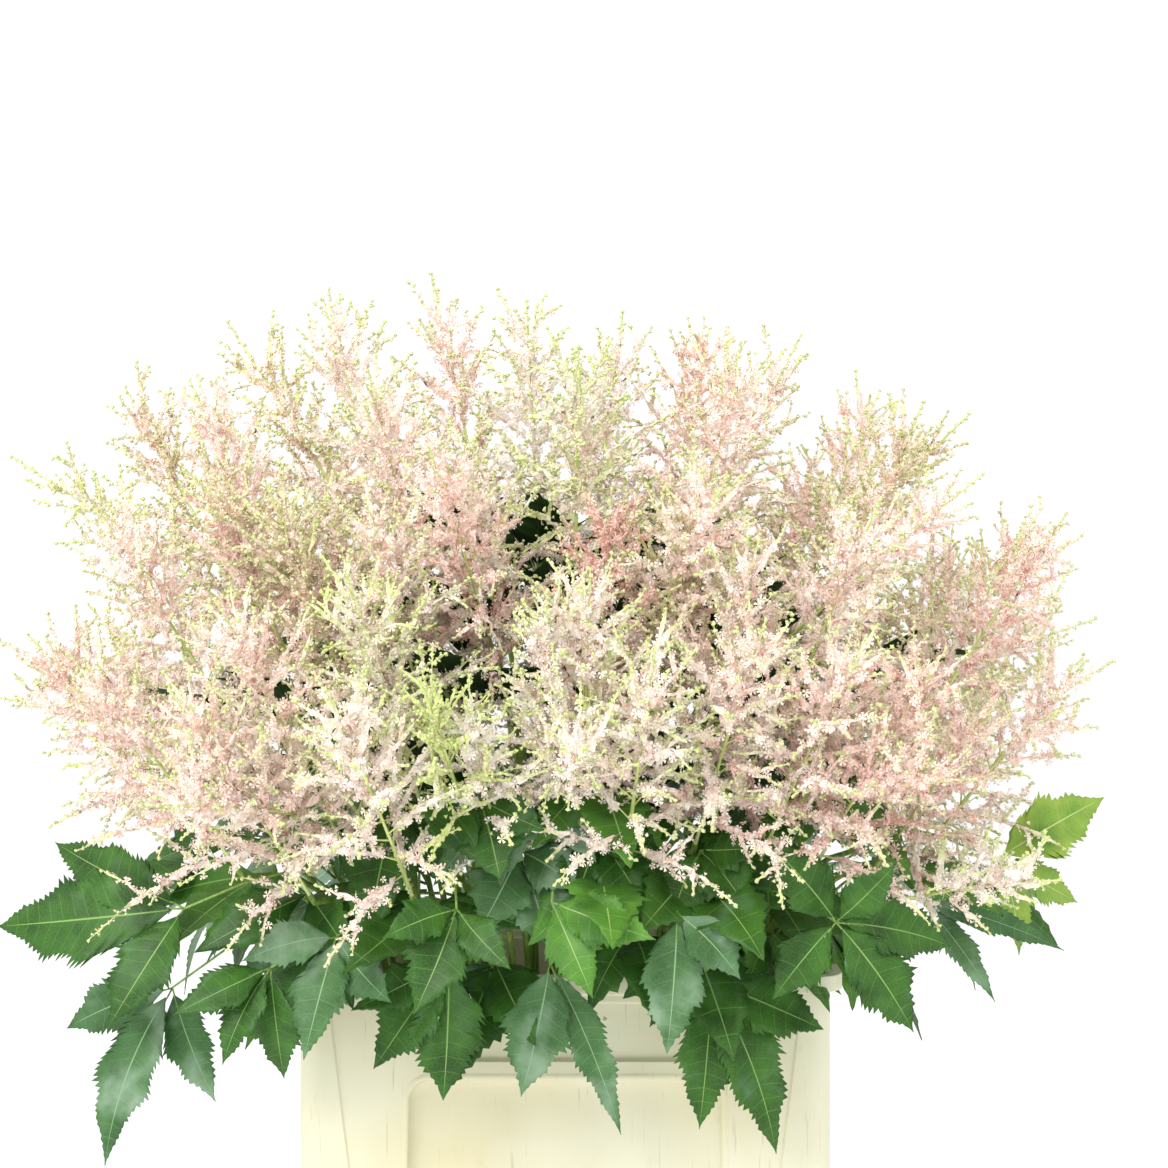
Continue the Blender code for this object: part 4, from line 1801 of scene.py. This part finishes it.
    @staticmethod
    def _edges(bm: EditMesh, loop: list[Corner]) -> list[bmesh.types.BMEdge]:
        """Return the edges round a closed loop of points."""
        pairs = zip(loop, loop[1:] + loop[:1])
        return [bm.edges.get((a, b)) or bm.edges.new((a, b)) for a, b in pairs]

    @staticmethod
    def _fill(bm: EditMesh, edges: list[bmesh.types.BMEdge]) -> None:
        """Fill the flat face between an outer loop and the loops inside it."""
        bmesh.ops.triangle_fill(bm, use_beauty=True, use_dissolve=False, edges=edges)

    def _rim(self, bm: EditMesh, outer: list[Corner], inner: list[Corner]) -> None:
        """Join the two skins over the turned-down lip.

        Args:
            bm: The edit mesh.
            outer: The outer skin's top loop.
            inner: The inner skin's top loop.
        """
        top, under = self.height, self.height - self.wall
        reach, hem = self.lip_reach, self.height - self.lip_drop
        inside = reach - self.wall
        path = (
            (-0.0026, top - 0.0004), (-0.0015, top), (reach - 0.0015, top), (reach - 0.0004, top - 0.0004),
            (reach, top - 0.0015), (reach, hem + 0.0006), (reach - 0.0006, hem), (inside + 0.0006, hem),
            (inside, hem + 0.0006), (inside, under - 0.0008), (inside - 0.0008, under), (0.0006, under),
        )
        last = inner
        for out, height in path:
            loop = self._loop(bm, out, height)
            bridge(bm, last, loop)
            last = loop
        bridge(bm, last, outer)


PLUMES = (
    Plume((-0.270, -0.360, 0.545), BLUSH, uplift=0.35),
    Plume((0.015, -0.390, 0.585), PALE, uplift=0.40, longest=0.075),
    Plume((0.270, -0.330, 0.560), PINK, uplift=0.35),
    Plume((-0.265, -0.250, 0.770), OLIVE),
    Plume((-0.090, -0.300, 0.780), PINK),
    Plume((0.110, -0.310, 0.760), BLUSH),
    Plume((0.295, -0.220, 0.765), BLUSH),
    Plume((-0.445, 0.000, 0.790), BUTTER),
    Plume((-0.440, -0.060, 0.600), PALE, uplift=0.2),
    Plume((-0.275, 0.020, 0.900), OLIVE),
    Plume((-0.110, 0.020, 0.940), BLUSH),
    Plume((0.045, -0.010, 0.905), PALE),
    Plume((0.190, 0.020, 0.890), BLUSH),
    Plume((0.325, 0.010, 0.825), OLIVE),
    Plume((0.420, -0.020, 0.660), PALE, uplift=0.2),
    Plume((-0.310, 0.260, 0.690), BLUSH, longest=0.100),
    Plume((-0.120, 0.340, 0.750), PALE, longest=0.100),
    Plume((0.115, 0.340, 0.730), PINK, longest=0.100),
    Plume((0.310, 0.250, 0.660), BLUSH, longest=0.100),
    Plume((0.000, 0.385, 0.550), BLUSH, uplift=0.35, longest=0.100),
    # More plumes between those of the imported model: the low ones in front
    Plume((0.018, -0.340, 0.697), PALE, rise=0.17),
    Plume((-0.010, -0.330, 0.684), PALE, rise=0.15, longest=0.060),
    Plume((0.060, -0.360, 0.646), PALE, rise=0.16),
    Plume((0.200, -0.320, 0.653), BLUSH, rise=0.16),
    Plume((0.133, -0.330, 0.664), BLUSH, rise=0.16),
    Plume((-0.228, -0.330, 0.678), BLUSH, rise=0.17),
    Plume((-0.152, -0.360, 0.620), PALE, rise=0.15),
    Plume((-0.258, -0.330, 0.618), BLUSH, rise=0.15),
    Plume((0.256, -0.300, 0.644), PINK, rise=0.16),
    Plume((0.307, -0.220, 0.606), PINK, rise=0.15),
    Plume((0.216, -0.270, 0.745), BLUSH, rise=0.18),
    Plume((0.133, -0.290, 0.721), BLUSH, rise=0.18),
    Plume((-0.145, -0.310, 0.697), BUTTER, rise=0.17),
    Plume((-0.091, -0.360, 0.626), LIME, rise=0.12, longest=0.050, branch_count=18, spike_reach=4.5 * MM),
    Plume((-0.064, -0.330, 0.612), CREAM, rise=0.12, longest=0.055, branch_count=18),
    Plume((0.343, -0.250, 0.483), CREAM, rise=0.028, longest=0.048, branch_count=20, uplift=0.2),
    # The middle of the front
    Plume((-0.260, -0.200, 0.762), PINK, rise=0.18),
    Plume((-0.136, -0.260, 0.746), BLUSH, rise=0.18),
    Plume((-0.064, -0.200, 0.791), PALE, rise=0.19),
    Plume((0.033, -0.250, 0.753), ROSE, rise=0.18),
    Plume((0.095, -0.240, 0.767), OLIVE, rise=0.19),
    Plume((-0.208, -0.240, 0.760), OLIVE, rise=0.19),
    # The dome above them, and its two ends
    Plume((-0.140, -0.200, 0.840), BLUSH, rise=0.20),
    Plume((0.010, -0.170, 0.860), BUTTER, rise=0.20),
    Plume((0.130, -0.140, 0.865), BLUSH, rise=0.20),
    Plume((-0.280, -0.130, 0.840), BLUSH, rise=0.20),
    Plume((0.270, -0.110, 0.825), OLIVE, rise=0.20),
    Plume((-0.190, -0.050, 0.910), PALE, rise=0.20),
    Plume((-0.030, -0.080, 0.905), CREAM, rise=0.20),
    Plume((-0.345, -0.160, 0.745), BLUSH, rise=0.18),
    Plume((-0.400, -0.130, 0.650), PINK, rise=0.15),
    Plume((-0.340, -0.260, 0.640), BLUSH, rise=0.16),
    Plume((-0.365, 0.050, 0.850), OLIVE, rise=0.20),
    Plume((0.375, -0.120, 0.740), PINK, rise=0.18),
    Plume((0.395, -0.100, 0.630), BLUSH, rise=0.15),
    Plume((0.118, 0.060, 0.900), PINK, rise=0.20),
    Plume((0.262, 0.080, 0.850), BLUSH, rise=0.20),
    Plume((0.392, 0.070, 0.745), OLIVE, rise=0.18),
    # The back
    Plume((-0.220, 0.200, 0.820), BLUSH, rise=0.20, longest=0.100),
    Plume((0.020, 0.220, 0.860), PALE, rise=0.20, longest=0.100),
    Plume((0.220, 0.200, 0.800), PINK, rise=0.20, longest=0.100),
    Plume((-0.400, 0.140, 0.660), BLUSH, rise=0.16, longest=0.100),
    Plume((0.380, 0.140, 0.620), PALE, rise=0.15, longest=0.100),
    Plume((-0.200, 0.330, 0.600), PINK, rise=0.15, longest=0.100),
    Plume((0.180, 0.340, 0.590), BLUSH, rise=0.15, longest=0.100),
    Plume((0.335, 0.060, 0.720), BLUSH, rise=0.17, longest=0.095),
)

LEAVES = (
    # The front, from left to right
    CompoundLeaf((-0.273, -0.190, 0.455), (Leaflet(-0.418, -0.150, 0.436, 0.062),
                 Leaflet(-0.321, -0.225, 0.375, 0.044), Leaflet(-0.381, -0.125, 0.495, 0.040)), DEEP),
    CompoundLeaf((-0.300, -0.090, 0.380), (Leaflet(-0.343, -0.130, 0.254, 0.050),
                 Leaflet(-0.385, -0.070, 0.345, 0.040), Leaflet(-0.262, -0.120, 0.300, 0.038)),
                 BLOOMED, turns_front=1.6),
    CompoundLeaf((-0.209, -0.205, 0.415), (Leaflet(-0.275, -0.225, 0.385, 0.030),
                 Leaflet(-0.240, -0.225, 0.350, 0.030), Leaflet(-0.200, -0.200, 0.335, 0.036)), DEEP),
    CompoundLeaf((-0.160, -0.225, 0.440), (Leaflet(-0.178, -0.265, 0.362, 0.040),
                 Leaflet(-0.118, -0.260, 0.400, 0.034), Leaflet(-0.222, -0.255, 0.428, 0.030)), BLOOMED),
    CompoundLeaf((-0.073, -0.270, 0.466), (Leaflet(-0.120, -0.305, 0.452, 0.030),
                 Leaflet(-0.100, -0.300, 0.400, 0.040), Leaflet(-0.035, -0.300, 0.430, 0.028)), DEEP),
    CompoundLeaf((-0.008, -0.265, 0.470), (Leaflet(0.062, -0.300, 0.450, 0.036),
                 Leaflet(0.020, -0.295, 0.410, 0.034)), FRESH),
    CompoundLeaf((-0.082, -0.205, 0.420), (Leaflet(-0.135, -0.215, 0.345, 0.044),
                 Leaflet(-0.085, -0.225, 0.325, 0.050), Leaflet(-0.150, -0.224, 0.388, 0.030)), DEEP),
    CompoundLeaf((-0.010, -0.215, 0.420), (Leaflet(-0.030, -0.235, 0.330, 0.044),
                 Leaflet(0.040, -0.220, 0.300, 0.026)), BLOOMED),
    CompoundLeaf((0.078, -0.260, 0.462), (Leaflet(0.070, -0.285, 0.370, 0.042),
                 Leaflet(0.120, -0.280, 0.420, 0.036)), BLOOMED),
    CompoundLeaf((0.105, -0.205, 0.405), (Leaflet(0.095, -0.225, 0.305, 0.040),
                 Leaflet(0.150, -0.215, 0.285, 0.044), Leaflet(0.185, -0.200, 0.370, 0.044)), DEEP),
    CompoundLeaf((0.190, -0.235, 0.452), (Leaflet(0.140, -0.255, 0.510, 0.042),
                 Leaflet(0.244, -0.235, 0.375, 0.050), Leaflet(0.145, -0.245, 0.400, 0.036),
                 Leaflet(0.228, -0.265, 0.497, 0.028), Leaflet(0.275, -0.205, 0.430, 0.038)), DEEP),
    CompoundLeaf((0.262, -0.155, 0.455), (Leaflet(0.312, -0.175, 0.385, 0.020),
                 Leaflet(0.365, -0.160, 0.420, 0.020)), BLOOMED, turns_front=1.6),
    CompoundLeaf((0.330, -0.085, 0.478), (Leaflet(0.412, -0.085, 0.525, 0.044),
                 Leaflet(0.398, -0.055, 0.440, 0.030), Leaflet(0.340, -0.120, 0.410, 0.030)),
                 TURNED, turns_front=1.6),
    # The sides and the back, from right to left
    CompoundLeaf((0.290, 0.060, 0.440), (Leaflet(0.395, 0.075, 0.425, 0.044),
                 Leaflet(0.330, 0.010, 0.360, 0.038), Leaflet(0.320, 0.130, 0.370, 0.038)),
                 DEEP, turns_front=0.0),
    CompoundLeaf((0.215, 0.190, 0.440), (Leaflet(0.290, 0.240, 0.400, 0.044),
                 Leaflet(0.245, 0.170, 0.345, 0.036), Leaflet(0.180, 0.235, 0.360, 0.038)),
                 FRESH, turns_front=0.0),
    CompoundLeaf((0.090, 0.240, 0.440), (Leaflet(0.100, 0.320, 0.375, 0.050),
                 Leaflet(0.150, 0.270, 0.370, 0.036), Leaflet(0.045, 0.265, 0.350, 0.036)),
                 BLOOMED, turns_front=0.0),
    CompoundLeaf((-0.050, 0.240, 0.440), (Leaflet(-0.060, 0.325, 0.380, 0.050),
                 Leaflet(-0.005, 0.270, 0.355, 0.034), Leaflet(-0.115, 0.270, 0.365, 0.036)),
                 DEEP, turns_front=0.0),
    CompoundLeaf((-0.190, 0.215, 0.440), (Leaflet(-0.250, 0.285, 0.395, 0.046),
                 Leaflet(-0.150, 0.255, 0.355, 0.036), Leaflet(-0.235, 0.190, 0.350, 0.036)),
                 DEEP, turns_front=0.0),
    CompoundLeaf((-0.280, 0.100, 0.440), (Leaflet(-0.385, 0.130, 0.415, 0.046),
                 Leaflet(-0.310, 0.165, 0.360, 0.036), Leaflet(-0.315, 0.045, 0.350, 0.036)),
                 FRESH, turns_front=0.0),
    # In front of the stems, just below the flowers
    CompoundLeaf((-0.058, -0.240, 0.538), (Leaflet(-0.091, -0.270, 0.506, 0.045),
                 Leaflet(-0.043, -0.275, 0.486, 0.045), Leaflet(-0.013, -0.270, 0.520, 0.034)),
                 DEEP, tooth_pitch=7.0 * MM),
    CompoundLeaf((-0.031, -0.220, 0.500), (Leaflet(-0.058, -0.250, 0.449, 0.045),
                 Leaflet(-0.009, -0.250, 0.435, 0.045), Leaflet(0.011, -0.250, 0.476, 0.035)),
                 BLOOMED, tooth_pitch=7.0 * MM),
    CompoundLeaf((0.025, -0.220, 0.508), (Leaflet(0.008, -0.250, 0.463, 0.040),
                 Leaflet(0.053, -0.250, 0.470, 0.042), Leaflet(0.067, -0.250, 0.504, 0.034)),
                 DEEP, tooth_pitch=7.0 * MM),
    CompoundLeaf((0.096, -0.220, 0.500), (Leaflet(0.074, -0.250, 0.456, 0.040),
                 Leaflet(0.125, -0.250, 0.466, 0.042), Leaflet(0.136, -0.240, 0.504, 0.034)),
                 DEEP, tooth_pitch=7.0 * MM),
)


class RingLeaf(NamedTuple):
    """One leaflet of a filler leaf: how far it turns sideways, and its length as a share of the longest."""

    sideways: float
    share: float


@dataclass(frozen=True)
class LeafRing:
    """One ring of leaves that fills in behind and between the listed ones."""

    count: int
    half_width: float
    half_depth: float
    height: float
    pitch: float
    length: float
    tones: tuple[LeafTone, ...]
    hand: tuple[RingLeaf, ...] = (
        RingLeaf(0.0, 1.0), RingLeaf(1.0, 0.80), RingLeaf(-1.0, 0.80),
        RingLeaf(1.9, 0.6), RingLeaf(-1.9, 0.6),
    )
    leaflet_counts: tuple[int, ...] = (3, 3, 5)
    height_spread: float = 0.018
    outer_teeth: tuple[float, tuple[float, ...]] = (11.0 * MM, (0.0, 0.55, 1.0))
    inner_teeth: tuple[float, tuple[float, ...]] = (14.0 * MM, (0.0, 1.0))
    front_ends: float = 0.05

    def leaves(self, rng: random.Random) -> list[CompoundLeaf]:
        """Lay out the ring's leaves.

        Args:
            rng: The source of random numbers.

        Returns:
            The leaves.
        """
        made = []
        start = rng.uniform(0.0, math.tau)
        inner = self.tones[0] is SHADED
        tooth_pitch, columns = self.inner_teeth if inner else self.outer_teeth
        for number in range(self.count):
            turn = start + math.tau * (number + rng.uniform(-0.3, 0.3)) / self.count
            joint = Vector((self.half_width * math.cos(turn), self.half_depth * math.sin(turn), 0.0))
            joint *= rng.uniform(0.88, 1.08)
            joint.z = self.height + rng.uniform(-self.height_spread, self.height_spread)
            out = math.atan2(joint.y / BUCKET_DEPTH, joint.x / BUCKET_WIDTH)
            swing = rng.uniform(-0.35, 0.35)
            leaflets = []
            for sideways, share in self.hand:
                heading = out + swing + sideways * rng.uniform(0.85, 1.1)
                pitch = self.pitch + rng.uniform(-0.25, 0.25)
                length = self.length * share * rng.uniform(0.85, 1.15)
                level = Vector((math.cos(heading), math.sin(heading), 0.0)) * math.cos(pitch)
                tip = joint + (level + UP * math.sin(pitch)) * length
                leaflets.append(Leaflet(*tip, length * rng.uniform(0.38, 0.46)))
            kept = tuple(leaflets[: rng.choice(self.leaflet_counts)])
            turns_front = 0.5 if joint.y < self.front_ends and not inner else 0.0
            turns_out = 0.8 if self.pitch < 0.0 else -0.1
            tone = rng.choice(self.tones)
            made.append(CompoundLeaf(tuple(joint), kept, tone, turns_front, tooth_pitch, columns, turns_out))
        return made


@dataclass(frozen=True)
class Foliage:
    """All the compound leaves, and where each one's stalk leaves a stem."""

    lowest_start: float = 0.430
    highest_start: float = 0.480
    stagger: float = 0.007
    stagger_steps: int = 3
    start_gap: float = 0.001
    filler_drop: float = 0.04
    seed: int = 7
    rings: tuple[LeafRing, ...] = (
        LeafRing(18, 0.235, 0.180, 0.430, -0.75, 0.100, (DEEP, BLOOMED, FRESH)),
        LeafRing(19, 0.280, 0.225, 0.468, -0.40, 0.110, (DEEP, DEEP, FRESH)),
        LeafRing(17, 0.215, 0.205, 0.545, -0.80, 0.110, (DEEP, FRESH, BLOOMED)),
        LeafRing(10, 0.200, 0.185, 0.500, 0.35, 0.095, (DEEP, FRESH)),
        # The inner rings stand in the dome's gaps; their SHADED blades are dark as painted shade
        LeafRing(12, 0.155, 0.135, 0.505, 0.55, 0.125, (SHADED, DEEP)),
        LeafRing(13, 0.225, 0.180, 0.580, 0.50, 0.105, (SHADED,)),
        LeafRing(13, 0.150, 0.120, 0.640, 0.60, 0.105, (SHADED,)),
        LeafRing(8, 0.080, 0.065, 0.700, 0.60, 0.095, (SHADED,)),
    )

    def make(self, stems: list[list[Vector]], finishes: Finishes) -> None:
        """Build every leaf: the listed ones, then the rings.

        Args:
            stems: The points along each stem.
            finishes: The object's finishes.
        """
        rng = random.Random(self.seed)
        fillers = [leaf for ring in self.rings for leaf in ring.leaves(rng)]
        for number, leaf in enumerate([*LEAVES, *fillers], 1):
            leaf.make(self._start(leaf, number, stems), finishes, number)

    def _start(self, leaf: CompoundLeaf, number: int, stems: list[list[Vector]]) -> Vector:
        """Find where a leaf leaves the nearest stem.

        Args:
            leaf: The leaf.
            number: Its number, which sets how high it starts.
            stems: The points along each stem.

        Returns:
            The place, just clear of the stem.
        """
        joint = Vector(leaf.joint)
        height = joint.z - self.filler_drop
        carriers = stems
        if f"leaf_{number:02d}" in frame["nodes"]:
            height = min(max(joint.z, self.lowest_start), self.highest_start)
            height += self.stagger * (number % self.stagger_steps)
            carriers = stems[:PACKED_STEMS]
        at_height = [self._at_height(places, height) for places in carriers]
        near = min(at_height, key=lambda place: (place - joint).length)
        towards = joint - near
        towards.z = 0.0
        return near + towards.normalized() * (STEM_RADIUS + self.start_gap)

    @staticmethod
    def _at_height(places: list[Vector], height: float) -> Vector:
        """Find where a stem reaches a height.

        Args:
            places: The points along the stem.
            height: The height.

        Returns:
            The place, or the stem's top where it is lower.
        """
        for low, high in zip(places, places[1:]):
            if low.z <= height <= high.z:
                return low.lerp(high, (height - low.z) / (high.z - low.z))
        return places[-1]


class Light(NamedTuple):
    """One soft square light: its name, its place, its side and its power."""

    name: str
    place: Place
    size: float
    power: float


@dataclass(frozen=True)
class Studio:
    """A pale floor, soft daylight-white light all round, and a camera level with the flowers."""

    camera_place: Place = (0.014, -1.8, 0.688)
    lens: float = 69.1
    sensor: float = 36.0
    farthest: float = 200.0
    floor_side: float = 40.0
    world_strength: float = 1.05
    aim: Vector = Vector((0.0, 0.0, 0.6))
    lights: tuple[Light, ...] = (
        Light("window above left", (-1.3, -2.1, 2.3), 1.6, 60.0),
        Light("window above right", (1.6, -1.6, 1.9), 1.4, 6.0),
        Light("ceiling", (0.0, 0.5, 2.6), 2.4, 9.0),
    )

    def build(self) -> None:
        """Add the floor, the lights and the camera."""
        scene = bpy.context.scene
        scene.view_settings.view_transform = "Standard"
        camera = bpy.data.objects.new("camera", bpy.data.cameras.new("camera"))
        camera.data.lens = self.lens
        camera.data.sensor_width = self.sensor
        camera.data.clip_end = self.farthest
        camera.location = self.camera_place
        camera.rotation_euler = (math.radians(90.0), 0.0, 0.0)
        scene.collection.objects.link(camera)
        scene.camera = camera
        self._floor()
        for light in self.lights:
            self._hang(light)
        world = bpy.data.worlds.new("white room")
        world.use_nodes = True
        background = world.node_tree.nodes["Background"]
        background.inputs["Color"].default_value = (1.0, 1.0, 1.0, 1.0)
        background.inputs["Strength"].default_value = self.world_strength
        scene.world = world

    def _floor(self) -> None:
        """Lay the floor that the bucket stands on."""
        half = self.floor_side / 2
        mesh = bpy.data.meshes.new("floor")
        corners = [(-half, -half, 0), (half, -half, 0), (half, half, 0), (-half, half, 0)]
        mesh.from_pydata(corners, [], [(0, 1, 2, 3)])
        constants = {"Base Color": linear("#FBFBFA"), "Roughness": 0.8}
        paint = FinishMaker("white painted floor").surface({}, constants)
        floor = new_object("floor", mesh, [paint])

    def _hang(self, light: Light) -> None:
        """Hang one light, aimed at the flowers.

        Args:
            light: The light.
        """
        data = bpy.data.lights.new(light.name, "AREA")
        data.size = light.size
        data.energy = light.power
        obj = bpy.data.objects.new(light.name, data)
        obj.location = light.place
        obj.rotation_euler = (self.aim - Vector(light.place)).to_track_quat("-Z", "Y").to_euler()
        bpy.context.scene.collection.objects.link(obj)


def make_stems(finish: bpy.types.Material) -> list[list[Vector]]:
    """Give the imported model's stems their finish, and make the others.

    Args:
        finish: The stems' finish.

    Returns:
        The points along each stem.
    """
    ways = [stem_places(plume) for plume in PLUMES]
    for number, places in enumerate(ways, 1):
        name = f"stem_{number:02d}"
        if name in frame["nodes"]:
            for slot in frame["nodes"][name].material_slots:
                slot.material = finish
            continue
        bm = bmesh.new()
        add_tube(bm, places, [STEM_RADIUS] * len(places), STEM_SIDES, 0)
        fasten(new_object(name, finished_mesh(name, bm), [finish]))
    return ways


def main() -> None:
    """Build the studio and then each sub-assembly in turn."""
    logging.basicConfig(level=logging.INFO, format="%(name)s: %(message)s")
    Studio().build()
    finishes = Finishes()
    Bucket().make(finishes)
    Foliage().make(make_stems(finishes.stem), finishes)
    maker = PlumeMaker(finishes)
    for number, plume in enumerate(PLUMES, 1):
        maker.make(plume, number)
    maker.close()
    added = [obj for obj in bpy.data.objects if obj.type == "MESH" and obj.name not in frame["nodes"]]
    faces = sum(len(obj.data.loop_triangles) for obj in added)
    LOG.info("%d triangles in all", faces)


if __name__ == "__main__":
    main()
